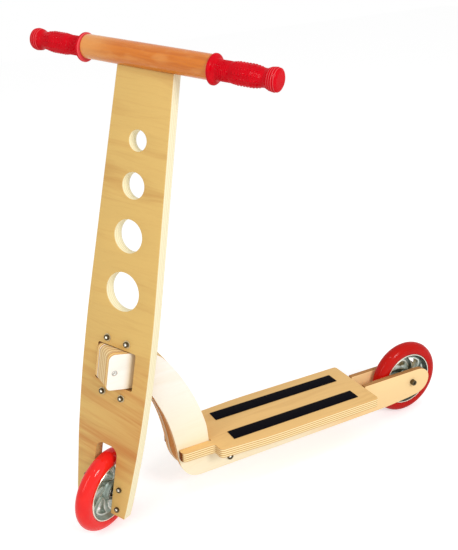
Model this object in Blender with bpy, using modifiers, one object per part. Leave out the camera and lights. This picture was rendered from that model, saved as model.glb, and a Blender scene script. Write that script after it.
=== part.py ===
"""Wooden kick scooter, shown with its steering board turned towards +X as in the photograph.

The origin is on the ground, midway between the wheels' centres when the steering points straight ahead.
Two assemblies carry the object. The frame has its own axes: origin at the rear wheel's centre, s to the rear
along the deck, n square to the deck. The steering assembly has its own axes too: origin on the steering axis
level with the front wheel's centre, x across the board, y to the back, z up the axis.
"""
import math

import bmesh
import bpy
from mathutils import Matrix, Vector

MM = 0.001

# Whole object
WHEELBASE = 620.0
TYRE_RADIUS = 72.5
FRAME_PITCH = 2.4
RAKE = 13.0
STEER_AT_REST = 30.0
TRAIL_OFFSET = 5.0
STEER_LIMIT = 30.5
GAP = 0.3

# Wheels
TYRE_TUBE = 14.0
TYRE_DEPTH = 20.0
TYRE_SEAT_RADIUS = TYRE_RADIUS - TYRE_DEPTH
TYRE_SEAT_HALF = 13.4
RIM_LIP = TYRE_SEAT_RADIUS - 2.5
RIM_FOOT = TYRE_SEAT_RADIUS - 7.3
HUB_HALF = 13.3
WEB_HALF = 4.5
BEARING_OUTER = 11.0
BOSS_RADIUS = BEARING_OUTER + 4.0
OPENING_INNER = BOSS_RADIUS + 3.5
OPENING_OUTER = RIM_FOOT - 1.9
OPENING_COUNT = 6
SPOKE_WIDTH = 6.0
SPOKE_SWEEP = 34.0
BEARING_WIDTH = 7.0
BEARING_SHOULDER = 9.0
AXLE_RADIUS = 4.0
SPACER_RADIUS = 6.5

# Frame
PLATE = 10.0
CORE_HALF = 15.4
PLATE_INNER = CORE_HALF + GAP
PLATE_OUTER = PLATE_INNER + PLATE
CORE_SETBACK = 2.5
DECK_TOP = 22.2
DECK_THICK = 18.0
FRAME_TOP = DECK_TOP - DECK_THICK - GAP
FORK_TOP = 23.3
DECK_REAR = -116.2
FORK_FRONT = DECK_REAR + 1.2
NECK_REAR = -445.4
NECK_START = 2.0
CORE_REAR = DECK_REAR - 2.0
FRAME_BOLT = (-406.0, -24.5)
NECK_REAR_LINE = [
    (-448.4, 52.7), (-455.4, 78.8), (-464.0, 104.0), (-474.6, 129.0), (-487.4, 154.0), (-501.0, 176.6),
    (-514.6, 195.4),
]
NECK_FRONT_LINE = [
    (-532.6, 120.0), (-522.0, 94.5), (-513.6, 67.5), (-507.4, 40.0), (-504.2, 20.0), (-502.3, 4.0),
]
KEEL_FRONT_LINE = [(-498.3, -12.0), (-491.0, -26.0), (-480.8, -35.8), (-468.0, -40.4), (-455.0, -41.0)]
KEEL_SETBACK = [(1.0, 0.0), (0.7, 0.5), (0.0, 0.7), (0.0, 0.4), (0.0, 0.0)]
FORK_END_LINE = [
    (-62.0, -38.3), (-35.0, -36.2), (0.0, -33.2), (20.0, -29.6), (32.5, -22.8), (39.6, -13.0), (42.0, -2.0),
    (39.8, 8.6), (32.5, 17.2), (22.0, 22.2), (10.0, FORK_TOP),
]
CORE_END_BOTTOM = -38.7
FRAME_BOLT_HEAD = 5.5
FRAME_BOLT_HEAD_HEIGHT = 3.2
BOLT_RADIUS = 3.0

# Deck outline
DECK_HALF = 67.5
DECK_SHOULDER_HALF = 61.5
DECK_SHOULDER = -441.5
PRONG_FRONT = -501.5
PRONG_INNER = PLATE_OUTER + GAP
PRONG_OUTER = 41.0
PRONG_CORNER = 8.0
RELIEF_RADIUS = 2.3
DECK_SIDE = [(61.9, -428.0), (64.6, -388.0), (66.6, -358.0), (DECK_HALF, -325.0)]
STRIP_INNER = 20.9
STRIP_OUTER = 45.8
STRIP_FRONT = -407.0
STRIP_REAR = -147.0
STRIP_THICK = 1.0

# Nose, where the steering axis runs through the frame
NOSE_FRONT = 27.0
NOSE_BOTTOM = 194.6
NOSE_TOP = 254.0
NOSE_TOP_CORNER = 10.0
NOSE_BOTTOM_CORNER = 7.0
NOSE_BEND = -27.0
NOSE_REAR_LINE = [(-52.4, 247.0), (-40.0, 251.6), (NOSE_BEND, NOSE_TOP)]
NOSE_FRONT_LINE = [(-35.0, 190.6), (-51.0, 177.3)]
NOSE_BOLT = (NOSE_FRONT - 11.1, (NOSE_BOTTOM + NOSE_TOP) / 2 - 1.3)
NOSE_BOLT_HEAD = 4.2
NOSE_BOLT_SINK = 3.0

# Steering board. The window is as wide as the nose needs at the ends of the steering's range
BOARD_THICK = 18.0
BOARD_TOP = 673.0
BOARD_BOTTOM = -31.0
BOARD_SIDE = [
    (48.5, BOARD_TOP), (51.4, 600.0), (55.3, 500.0), (59.2, 400.0), (62.5, 315.0), (63.5, 245.0),
    (63.1, 180.0), (60.4, 105.0), (56.6, 50.0), (51.8, -6.0), (48.7, BOARD_BOTTOM),
]
HOLES = [(574.0, 15.4), (509.0, 19.7), (433.5, 25.3), (346.8, 30.4)]
WINDOW_CLEARANCE = 1.4
WINDOW_SIDE_CLEARANCE = 1.1
NOSE_REACH = PLATE_OUTER + BOARD_THICK / 2 * math.sin(math.radians(STEER_LIMIT))
WINDOW_HALF = NOSE_REACH / math.cos(math.radians(STEER_LIMIT)) + WINDOW_SIDE_CLEARANCE
WINDOW_BOTTOM = NOSE_BOTTOM - WINDOW_CLEARANCE
WINDOW_TOP = NOSE_TOP + WINDOW_CLEARANCE
WINDOW_CORNER = 3.5
SLOT_HALF = 21.0
SLOT_TOP = 87.0
SLOT_CORNER = 14.0
PIN_TOP = WINDOW_TOP + 44.6
PIN_BOTTOM = SLOT_TOP + 23.0
PIN_WASHER = 7.0

# Blocks and bolts of the board. Each pivot block has its bottom, top and bolt height
BLOCK_THICK = 14.0
PIVOT_BLOCK_HALF = 30.0
PIVOT_BLOCK_HEIGHT = 23.0
UPPER_BLOCK = WINDOW_TOP + 2.6
LOWER_BLOCK = WINDOW_BOTTOM - 7.2 - PIVOT_BLOCK_HEIGHT
PIVOT_BLOCKS = {
    "pivot_block_upper": (UPPER_BLOCK, UPPER_BLOCK + PIVOT_BLOCK_HEIGHT, UPPER_BLOCK + 9.6),
    "pivot_block_lower": (LOWER_BLOCK, LOWER_BLOCK + PIVOT_BLOCK_HEIGHT, LOWER_BLOCK + 13.3),
}
WINDOW_BOLT_X = 18.7
AXLE_BLOCK_OUTER = 41.0
AXLE_BLOCK_TOP = 32.0
LEG_BOLT_X = 33.7
LEG_BOLT_Z = 18.3
SCREW_HEAD = 4.4
SCREW_HEAD_HEIGHT = 3.4
WASHER_RADIUS = 6.3
WASHER_THICK = 1.2
NUT_RADIUS = 5.6
NUT_HEIGHT = 4.6
BOLT_TIP_COVER = 3.0
AXLE_END = 39.5
REAR_HEAD = 5.5
REAR_HEAD_HEIGHT = 8.0
REAR_NUT = 7.2
REAR_NUT_HEIGHT = 5.4

# Handlebar
BAR_Z = 688.0
BAR_Y = -5.5
BAR_RADIUS = 17.3
BAR_LIFT = 1.8
BAR_SHOULDER = 107.5
TENON_RADIUS = 10.0
TENON_END = 199.0
BAR_SCREW_X = 35.0
BAR_SCREW_TIP = 636.0
BAR_SCREW_RADIUS = 2.5
BAR_SCREW_HEAD = 4.6
GRIP_END = 207.8
GRIP_FLANGE = 20.8
GRIP_COLLAR = 13.9
GRIP_BODY = 15.0
GRIP_WAIST = 12.6
GRIP_CAP = 16.2

# Edge rounding and roundness
WOOD_EDGE = 0.8
SMALL_STEPS = 12
HOLE_STEPS = 36
BAR_STEPS = 32
GRIP_STEPS = 26
WHEEL_STEPS = 40

MATERIALS = {
    "board_plywood": ((0.72, 0.52, 0.28), 0.45, 0.0),
    "frame_plywood": ((0.88, 0.76, 0.55), 0.45, 0.0),
    "core_plywood": ((0.70, 0.52, 0.30), 0.5, 0.0),
    "deck_plywood": ((0.76, 0.56, 0.32), 0.45, 0.0),
    "block_beech": ((0.66, 0.46, 0.27), 0.5, 0.0),
    "bar_beech": ((0.62, 0.30, 0.10), 0.35, 0.0),
    "grip_rubber": ((0.70, 0.01, 0.03), 0.4, 0.0),
    "tyre_red": ((0.72, 0.02, 0.03), 0.25, 0.0),
    "cast_aluminium": ((0.62, 0.64, 0.66), 0.3, 1.0),
    "dark_steel": ((0.12, 0.12, 0.13), 0.35, 1.0),
    "bright_steel": ((0.60, 0.60, 0.62), 0.25, 1.0),
    "grip_tape": ((0.012, 0.010, 0.014), 0.8, 0.0),
}


def clear_scene():
    for item in list(bpy.data.objects):
        bpy.data.objects.remove(item, do_unlink=True)
    for group in list(bpy.data.collections):
        bpy.data.collections.remove(group)


def make_collection(name):
    group = bpy.data.collections.new(name)
    bpy.context.scene.collection.children.link(group)
    return group


def make_material(name):
    colour, roughness, metallic = MATERIALS[name]
    material = bpy.data.materials.new(name)
    material.use_nodes = True
    shader = material.node_tree.nodes["Principled BSDF"]
    shader.inputs["Base Color"].default_value = (*colour, 1.0)
    shader.inputs["Roughness"].default_value = roughness
    shader.inputs["Metallic"].default_value = metallic
    material.diffuse_color = (*colour, 1.0)
    return material


def make_axes(name, matrix, parent=None):
    axes = bpy.data.objects.new(name, None)
    axes.empty_display_size = 0.02
    parts.objects.link(axes)
    axes.parent = parent
    axes.matrix_local = matrix
    return axes


def add_part(name, mesh, axes, finish, local=Matrix.Identity(4), group=None):
    """Puts a mesh, given in millimetres, under a set of axes as one named part or cutter."""
    mesh.name = name
    mesh.transform(Matrix.Scale(MM, 4))
    part = bpy.data.objects.new(name, mesh)
    (group or parts).objects.link(part)
    part.parent = axes
    part.matrix_local = local
    if finish:
        material = make_material(finish)
        material.name = name
        mesh.materials.clear()
        mesh.materials.append(material)
    else:
        part.hide_render = True
        part.display_type = "WIRE"
    return part


def evaluated_mesh(source):
    """The mesh that an object's modifiers or curve settings give, with the object removed."""
    bpy.context.view_layer.update()
    depsgraph = bpy.context.evaluated_depsgraph_get()
    mesh = bpy.data.meshes.new_from_object(source.evaluated_get(depsgraph))
    bpy.data.objects.remove(source, do_unlink=True)
    return mesh


def finish_mesh(mesh, weld=0.001):
    """Welds the doubles left by curve caps and joins the flat triangles into whole faces."""
    work = bmesh.new()
    work.from_mesh(mesh)
    bmesh.ops.remove_doubles(work, verts=work.verts, dist=weld)
    bmesh.ops.dissolve_limit(work, angle_limit=0.0005, verts=work.verts, edges=work.edges)
    bmesh.ops.recalc_face_normals(work, faces=work.faces)
    work.to_mesh(mesh)
    work.free()
    return mesh


def flat_mesh(outlines, thickness):
    """A plate from closed 2D outlines in x and y, its thickness shared about z = 0."""
    curve = bpy.data.curves.new("outline", "CURVE")
    curve.dimensions = "2D"
    curve.fill_mode = "BOTH"
    curve.extrude = thickness / 2
    for points in outlines:
        spline = curve.splines.new("POLY")
        spline.points.add(len(points) - 1)
        for slot, (x, y) in zip(spline.points, points):
            slot.co = (x, y, 0.0, 1.0)
        spline.use_cyclic_u = True
    shape = bpy.data.objects.new("outline", curve)
    bpy.context.scene.collection.objects.link(shape)
    return finish_mesh(evaluated_mesh(shape))


def turned_mesh(profile, steps, closed=True):
    """A turned body about z from (radius, height) points that run down the outer side."""
    mesh = bpy.data.meshes.new("profile")
    count = len(profile)
    edges = [(i, i + 1) for i in range(count - 1)]
    if closed:
        edges.append((count - 1, 0))
    mesh.from_pydata([(r, 0.0, h) for r, h in profile], edges, [])
    shape = bpy.data.objects.new("profile", mesh)
    bpy.context.scene.collection.objects.link(shape)
    screw = shape.modifiers.new("turn", "SCREW")
    screw.angle = math.tau
    screw.steps = steps
    screw.render_steps = steps
    screw.use_merge_vertices = True
    screw.merge_threshold = 0.0001
    screw.use_normal_calculate = True
    turned = evaluated_mesh(shape)
    work = bmesh.new()
    work.from_mesh(turned)
    bmesh.ops.remove_doubles(work, verts=work.verts, dist=0.0001)
    bmesh.ops.recalc_face_normals(work, faces=work.faces)
    work.to_mesh(turned)
    work.free()
    return turned


def round_bar(radius, length, steps=SMALL_STEPS):
    """A plain cylinder about z, centred, as a mesh."""
    mesh = bpy.data.meshes.new("bar")
    work = bmesh.new()
    bmesh.ops.create_cone(work, cap_ends=True, segments=steps, radius1=radius, radius2=radius, depth=length)
    work.to_mesh(mesh)
    work.free()
    return mesh


def block_mesh(low, high):
    """A box between two corners, as a mesh."""
    mesh = bpy.data.meshes.new("block")
    work = bmesh.new()
    bmesh.ops.create_cube(work, size=1.0)
    size = [b - a for a, b in zip(low, high)]
    middle = [(a + b) / 2 for a, b in zip(low, high)]
    bmesh.ops.scale(work, vec=Vector(size), verts=work.verts)
    bmesh.ops.translate(work, vec=Vector(middle), verts=work.verts)
    work.to_mesh(mesh)
    work.free()
    return mesh


def copies(mesh, places):
    """One mesh that holds a separate copy of the given body at each place."""
    whole = bpy.data.meshes.new(mesh.name)
    work = bmesh.new()
    for place in places:
        single = mesh.copy()
        single.transform(place)
        work.from_mesh(single)
        bpy.data.meshes.remove(single)
    work.to_mesh(whole)
    work.free()
    return whole


def add_copies(names, mesh, axes, finish, places):
    """One named part for each place, every one with its own copy of the body."""
    for name, place in zip(names, places):
        single = mesh.copy()
        single.transform(place)
        add_part(name, single, axes, finish)


def cut(part, tool):
    boolean = part.modifiers.new("cut", "BOOLEAN")
    boolean.operation = "DIFFERENCE"
    boolean.solver = "EXACT"
    boolean.object = tool


def round_edges(part, width=WOOD_EDGE, segments=1):
    bevel = part.modifiers.new("edge", "BEVEL")
    bevel.width = width * MM
    bevel.segments = segments
    bevel.limit_method = "ANGLE"
    bevel.angle_limit = math.radians(40)
    bevel.use_clamp_overlap = True


def rounded(corners, step=12.0):
    """A closed outline from (x, y, radius) corners, each radius drawn as an arc."""
    points = []
    count = len(corners)
    for i, (x, y, radius) in enumerate(corners):
        here = Vector((x, y))
        if radius <= 0:
            points.append((x, y))
            continue
        before = (Vector(corners[i - 1][:2]) - here).normalized()
        after = (Vector(corners[(i + 1) % count][:2]) - here).normalized()
        half = before.angle(after) / 2
        reach = radius / math.tan(half)
        centre = here + (before + after).normalized() * radius / math.sin(half)
        start = here + before * reach - centre
        end = here + after * reach - centre
        turn = start.angle_signed(end)
        pieces = max(2, round(abs(math.degrees(turn)) / step))
        for k in range(pieces + 1):
            spun = Matrix.Rotation(-turn * k / pieces, 2) @ start + centre
            points.append((spun.x, spun.y))
    return points


def smooth(points, pieces=4):
    """A smooth line through the given points, with straight starts and ends."""
    line = []
    whole = [points[0]] + list(points) + [points[-1]]
    for a, b, c, d in zip(whole, whole[1:], whole[2:], whole[3:]):
        for k in range(pieces):
            t = k / pieces
            line.append(tuple(
                0.5 * (2 * q + (r - p) * t + (2 * p - 5 * q + 4 * r - s) * t * t + (3 * q - p - 3 * r + s) * t ** 3)
                for p, q, r, s in zip(a, b, c, d)
            ))
    line.append(tuple(points[-1]))
    return line


def circle(x, y, radius, steps):
    return [(x + radius * math.cos(math.tau * i / steps), y + radius * math.sin(math.tau * i / steps))
            for i in range(steps)]


ALONG_X = Matrix.Rotation(math.radians(90), 4, "Y")
ALONG_Y = Matrix.Rotation(math.radians(90), 4, "X")
SIDE_VIEW = Matrix(((0, 0, 1, 0), (1, 0, 0, 0), (0, 1, 0, 0), (0, 0, 0, 1)))
FRONT_VIEW = Matrix(((1, 0, 0, 0), (0, 0, -1, 0), (0, 1, 0, 0), (0, 0, 0, 1)))


def shift(x, y, z):
    return Matrix.Translation((x, y, z))


def drill(name, axes, places, radius, length, direction=ALONG_X, steps=SMALL_STEPS):
    """Round cutters of one size, all in one tool."""
    mesh = copies(round_bar(radius, length, steps), [shift(*p) @ direction for p in places])
    return add_part(name, mesh, axes, None, group=cutters)


# The two sets of axes and where the steering axis crosses the frame's side view

def steering_matrix(angle):
    """World place of the steering axes when turned by an angle in degrees."""
    rake = math.radians(RAKE)
    forward = Vector((0, -math.cos(rake), math.sin(rake)))
    foot = Vector((0, -WHEELBASE / 2, TYRE_RADIUS - FRONT_DROP)) + forward * TRAIL_OFFSET
    lean = Matrix.Rotation(-rake, 4, "X")
    return Matrix.Translation(foot * MM) @ lean @ Matrix.Rotation(math.radians(angle), 4, "Z")


def lowest_point(angle):
    """Height of the leaning front wheel's lowest point with no drop."""
    rake = math.radians(RAKE)
    turn = math.radians(angle)
    centre = TYRE_RADIUS + TRAIL_OFFSET * math.sin(rake) * (1 - math.cos(turn))
    lean = math.sin(rake) * math.sin(turn)
    return centre - (TYRE_RADIUS - TYRE_TUBE) * math.sqrt(1 - lean * lean) - TYRE_TUBE


FRONT_DROP = lowest_point(STEER_AT_REST)


def nose_point(q, v):
    """Frame (s, n) of a point q ahead of the steering axis and v up it."""
    rake = math.radians(RAKE)
    pitch = math.radians(FRAME_PITCH)
    y = -(TRAIL_OFFSET + q) * math.cos(rake) + v * math.sin(rake) - WHEELBASE
    z = -FRONT_DROP + (TRAIL_OFFSET + q) * math.sin(rake) + v * math.cos(rake)
    return (y * math.cos(pitch) - z * math.sin(pitch), y * math.sin(pitch) + z * math.cos(pitch))


def frame_outline(back, front_edge_setback, fork):
    """Side outline of the frame in (s, n). The fork flag adds the arms, else the shape ends under the deck."""
    neck_rear = [(NECK_REAR, DECK_TOP + NECK_START)] + NECK_REAR_LINE
    neck_rear += [nose_point(q, v) for q, v in NOSE_REAR_LINE]
    nose = rounded([
        (*neck_rear[-1], 0), (*nose_point(NOSE_FRONT - back, NOSE_TOP), NOSE_TOP_CORNER),
        (*nose_point(NOSE_FRONT - back, NOSE_BOTTOM), NOSE_BOTTOM_CORNER), (*nose_point(NOSE_BEND, NOSE_BOTTOM), 0),
    ])
    k = front_edge_setback
    neck_front = [nose_point(q - k, v + k / 2) for q, v in NOSE_FRONT_LINE]
    neck_front += [(s + k, n) for s, n in NECK_FRONT_LINE]
    neck_front += [(s + k * a, n + k * b) for (s, n), (a, b) in zip(KEEL_FRONT_LINE, KEEL_SETBACK)]
    line = [(NECK_REAR, FRAME_TOP)] + smooth(neck_rear, 2) + nose[1:-1] + smooth([nose[-1]] + neck_front, 2)
    if not fork:
        return line + [(CORE_REAR, CORE_END_BOTTOM), (CORE_REAR, FRAME_TOP)]
    return line + smooth(FORK_END_LINE, 2) + [(FORK_FRONT, FORK_TOP), (FORK_FRONT, FRAME_TOP)]


def build_frame(axes):
    """Side plates, core, deck, strips and their bolts."""
    nose_s, nose_n = nose_point(*NOSE_BOLT)
    through = 3 * PLATE_OUTER
    bolt_tool = drill("frame_bolt_hole", axes, [(0, *FRAME_BOLT)], BOLT_RADIUS + GAP, through)
    sink = NOSE_BOLT_HEAD + GAP
    sink_floor = PLATE_OUTER - NOSE_BOLT_SINK
    upper = [(0.0, through / 2), (sink, through / 2), (sink, sink_floor), (BOLT_RADIUS + GAP, sink_floor)]
    nose_hole = turned_mesh(upper + [(r, -h) for r, h in reversed(upper)], SMALL_STEPS, closed=False)
    nose_hole.transform(shift(0, nose_s, nose_n) @ ALONG_X)
    nose_tool = add_part("nose_bolt_hole", nose_hole, axes, None, group=cutters)
    axle_tool = drill("rear_axle_hole", axes, [(0, 0, 0)], AXLE_RADIUS + GAP, through)
    pin_middle = (NOSE_TOP + NOSE_BOTTOM) / 2
    tilt = Matrix.Rotation(math.radians(-(RAKE - FRAME_PITCH)), 4, "X")
    pin_length = 1.5 * (NOSE_TOP - NOSE_BOTTOM)
    pin_tool = drill("pin_hole", axes, [(0, *nose_point(0.0, pin_middle))], AXLE_RADIUS + GAP, pin_length, tilt)

    for side, name in ((-1, "side_plate_left"), (1, "side_plate_right")):
        mesh = flat_mesh([frame_outline(0.0, 0.0, True)], PLATE)
        mesh.transform(shift(side * (PLATE_INNER + PLATE / 2), 0, 0) @ SIDE_VIEW)
        plate = add_part(name, mesh, axes, "frame_plywood")
        round_edges(plate)
        for tool in (bolt_tool, nose_tool, axle_tool):
            cut(plate, tool)

    mesh = flat_mesh([frame_outline(0.4, CORE_SETBACK, False)], 2 * CORE_HALF)
    mesh.transform(SIDE_VIEW)
    core = add_part("frame_core", mesh, axes, "core_plywood")
    for tool in (bolt_tool, nose_tool, pin_tool):
        cut(core, tool)

    slot_end = NECK_REAR + WOOD_EDGE + GAP
    turns = [math.radians(angle) for angle in range(180, -91, -30)]
    relief = [(PRONG_INNER + RELIEF_RADIUS * math.cos(a), slot_end + RELIEF_RADIUS * math.sin(a)) for a in turns]
    corners = [
        *((x, s, 0) for x, s in relief), (PRONG_INNER, PRONG_FRONT, 1.5),
        (PRONG_OUTER - 1.0, PRONG_FRONT, PRONG_CORNER),
        (PRONG_OUTER, DECK_SHOULDER, 4.5), (DECK_SHOULDER_HALF, DECK_SHOULDER, 9.0),
        *((x, s, 0) for x, s in DECK_SIDE), (DECK_HALF, DECK_REAR, 6.0),
    ]
    right = rounded([(0.0, slot_end, 0)] + corners + [(0.0, DECK_REAR, 0)])[1:-1]
    left = [(-x, y) for x, y in reversed(right)]
    mesh = flat_mesh([right + left], DECK_THICK)
    mesh.transform(shift(0, 0, DECK_TOP - DECK_THICK / 2))
    deck = add_part("deck", mesh, axes, "deck_plywood")
    round_edges(deck, 1.0)

    for side, name in ((-1, "grip_strip_left"), (1, "grip_strip_right")):
        xs = sorted((side * STRIP_INNER, side * STRIP_OUTER))
        low = DECK_TOP + GAP
        mesh = block_mesh((xs[0], STRIP_FRONT, low), (xs[1], STRIP_REAR, low + STRIP_THICK))
        strip = add_part(name, mesh, axes, "grip_tape")
        round_edges(strip, 0.3)

    bolt = bolt_mesh(BOLT_RADIUS, 2 * PLATE_OUTER + 2 * GAP + NUT_HEIGHT, FRAME_BOLT_HEAD, FRAME_BOLT_HEAD_HEIGHT)
    add_copies(["frame_bolt"], bolt, axes, "dark_steel", [shift(PLATE_OUTER + GAP, *FRAME_BOLT) @ ALONG_X])
    nut = nut_mesh(BOLT_RADIUS, NUT_RADIUS, NUT_HEIGHT)
    add_copies(["frame_nut"], nut, axes, "bright_steel", [shift(-PLATE_OUTER - GAP, *FRAME_BOLT) @ ALONG_X])

    seat = PLATE_OUTER - NOSE_BOLT_SINK + GAP
    head = NOSE_BOLT_SINK - 2 * GAP
    bolt = bolt_mesh(BOLT_RADIUS, 2 * seat - GAP, NOSE_BOLT_HEAD, head, socket=False)
    add_copies(["nose_bolt"], bolt, axes, "bright_steel", [shift(seat, nose_s, nose_n) @ ALONG_X])
    plug = round_bar(NOSE_BOLT_HEAD, head)
    add_copies(["nose_bolt_cap"], plug, axes, "bright_steel", [shift(-seat - head / 2, nose_s, nose_n) @ ALONG_X])


def bolt_mesh(radius, length, head_radius, head_height, socket=True):
    """A bolt on z: its head above z = 0, its shank below, with a hexagon socket in the head."""
    round_top = head_height * 0.25
    profile = [
        (0.0, head_height), (head_radius - round_top, head_height), (head_radius, head_height - round_top),
        (head_radius, 0.0), (radius, 0.0), (radius, -length), (0.0, -length),
    ]
    mesh = turned_mesh(profile, SMALL_STEPS, closed=False)
    if not socket:
        return mesh
    shape = bpy.data.objects.new("bolt", mesh)
    bpy.context.scene.collection.objects.link(shape)
    depth = head_height * 0.6
    tool = bpy.data.objects.new("socket", round_bar(head_radius * 0.48, 2 * depth, 6))
    bpy.context.scene.collection.objects.link(tool)
    tool.location.z = head_height
    cut(shape, tool)
    result = evaluated_mesh(shape)
    bpy.data.objects.remove(tool, do_unlink=True)
    return result


def nut_mesh(bore, radius, height):
    """A hexagon nut below z = 0, its hole clear of the thread by the gap."""
    mesh = flat_mesh([circle(0, 0, radius, 6), circle(0, 0, bore + GAP, SMALL_STEPS)], height)
    mesh.transform(shift(0, 0, -height / 2))
    return mesh


def ring_mesh(inner, outer, low, high, steps=SMALL_STEPS):
    """A plain ring about z between two heights."""
    return turned_mesh([(inner, high), (outer, high), (outer, low), (inner, low)], steps)


def build_wheel(prefix, axes):
    """Tyre, hub, bearings and their spacer about the wheel's own axis, which is x of its axes."""
    centre = TYRE_RADIUS - TYRE_TUBE
    arc = [(centre + TYRE_TUBE * math.cos(math.radians(a)), TYRE_TUBE * math.sin(math.radians(a)))
           for a in (84, 60, 36, 12, -12, -36, -60, -84)]
    profile = [(TYRE_SEAT_RADIUS, TYRE_SEAT_HALF)] + arc + [(TYRE_SEAT_RADIUS, -TYRE_SEAT_HALF)]
    add_part(prefix + "_tyre", turned_mesh(profile, WHEEL_STEPS), axes, "tyre_red", ALONG_X)

    seat = TYRE_SEAT_RADIUS - GAP
    shoulder_half = HUB_HALF - BEARING_WIDTH - GAP
    upper = [
        (BEARING_SHOULDER, shoulder_half), (BEARING_OUTER + GAP, shoulder_half), (BEARING_OUTER + GAP, HUB_HALF),
        (BOSS_RADIUS, HUB_HALF), (BOSS_RADIUS + 1.5, WEB_HALF), (RIM_FOOT, WEB_HALF),
        (RIM_LIP, HUB_HALF), (seat, HUB_HALF),
    ]
    profile = upper + [(r, -h) for r, h in reversed(upper)]
    hub = add_part(prefix + "_hub", turned_mesh(profile, WHEEL_STEPS), axes, "cast_aluminium", ALONG_X)
    outlines = []
    for i in range(OPENING_COUNT):
        outlines.append(opening_outline(math.tau * i / OPENING_COUNT))
    tool = add_part(prefix + "_hub_openings", flat_mesh(outlines, 6 * WEB_HALF), axes, None, ALONG_X, cutters)
    cut(hub, tool)

    bearing = ring_mesh(AXLE_RADIUS + GAP, BEARING_OUTER, -BEARING_WIDTH / 2, BEARING_WIDTH / 2)
    offset = HUB_HALF - BEARING_WIDTH / 2
    places = [shift(side * offset, 0, 0) @ ALONG_X for side in (-1, 1)]
    add_copies([f"{prefix}_bearing_{side}" for side in ("left", "right")], bearing, axes, "bright_steel", places)
    spacer = ring_mesh(AXLE_RADIUS + GAP, SPACER_RADIUS, -shoulder_half, shoulder_half)
    add_part(prefix + "_bearing_spacer", spacer, axes, "bright_steel", ALONG_X)


def add_axle_spacers(prefix, axes, reach, offset):
    """The two tubes between a wheel's bearings and the wood on both sides of it."""
    tube = ring_mesh(AXLE_RADIUS + GAP, SPACER_RADIUS, HUB_HALF + GAP, reach - GAP)
    places = [shift(0, offset, 0) @ Matrix.Rotation(angle, 4, "Z") @ ALONG_X for angle in (math.pi, 0.0)]
    add_copies([f"{prefix}_spacer_{side}" for side in ("left", "right")], tube, axes, "bright_steel", places)


def opening_outline(start):
    """One opening between two curved spokes of the hub, in its own plane."""
    pitch = math.tau / OPENING_COUNT
    radii = [OPENING_INNER + (OPENING_OUTER - OPENING_INNER) * k / 4 for k in range(5)]

    def place(radius, share):
        sweep = math.radians(SPOKE_SWEEP) * (radius - OPENING_INNER) / (OPENING_OUTER - OPENING_INNER)
        web = SPOKE_WIDTH / 2 / radius
        angle = start + sweep + web + (pitch - 2 * web) * share
        return (radius * math.cos(angle), radius * math.sin(angle))

    corner_in = 0.16
    corner_out = 0.10
    trailing = [place(r, 0.0) for r in radii[1:-1]]
    outer = [place(OPENING_OUTER, s) for s in (corner_out, 0.37, 0.63, 1 - corner_out)]
    leading = [place(r, 1.0) for r in reversed(radii[1:-1])]
    inner = [place(OPENING_INNER, s) for s in (1 - corner_in, 0.5, corner_in)]
    return trailing + outer + leading + inner


def build_rear_axle(axes):
    """The bolt that carries the rear wheel between the arms, and its nut."""
    side = PLATE_OUTER + GAP
    bolt = bolt_mesh(AXLE_RADIUS, 2 * side + REAR_NUT_HEIGHT + GAP, REAR_HEAD, REAR_HEAD_HEIGHT)
    add_copies(["rear_axle"], bolt, axes, "dark_steel", [shift(side, 0, 0) @ ALONG_X])
    nut = nut_mesh(AXLE_RADIUS, REAR_NUT, REAR_NUT_HEIGHT)
    add_copies(["rear_axle_nut"], nut, axes, "bright_steel", [shift(-side, 0, 0) @ ALONG_X])


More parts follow.
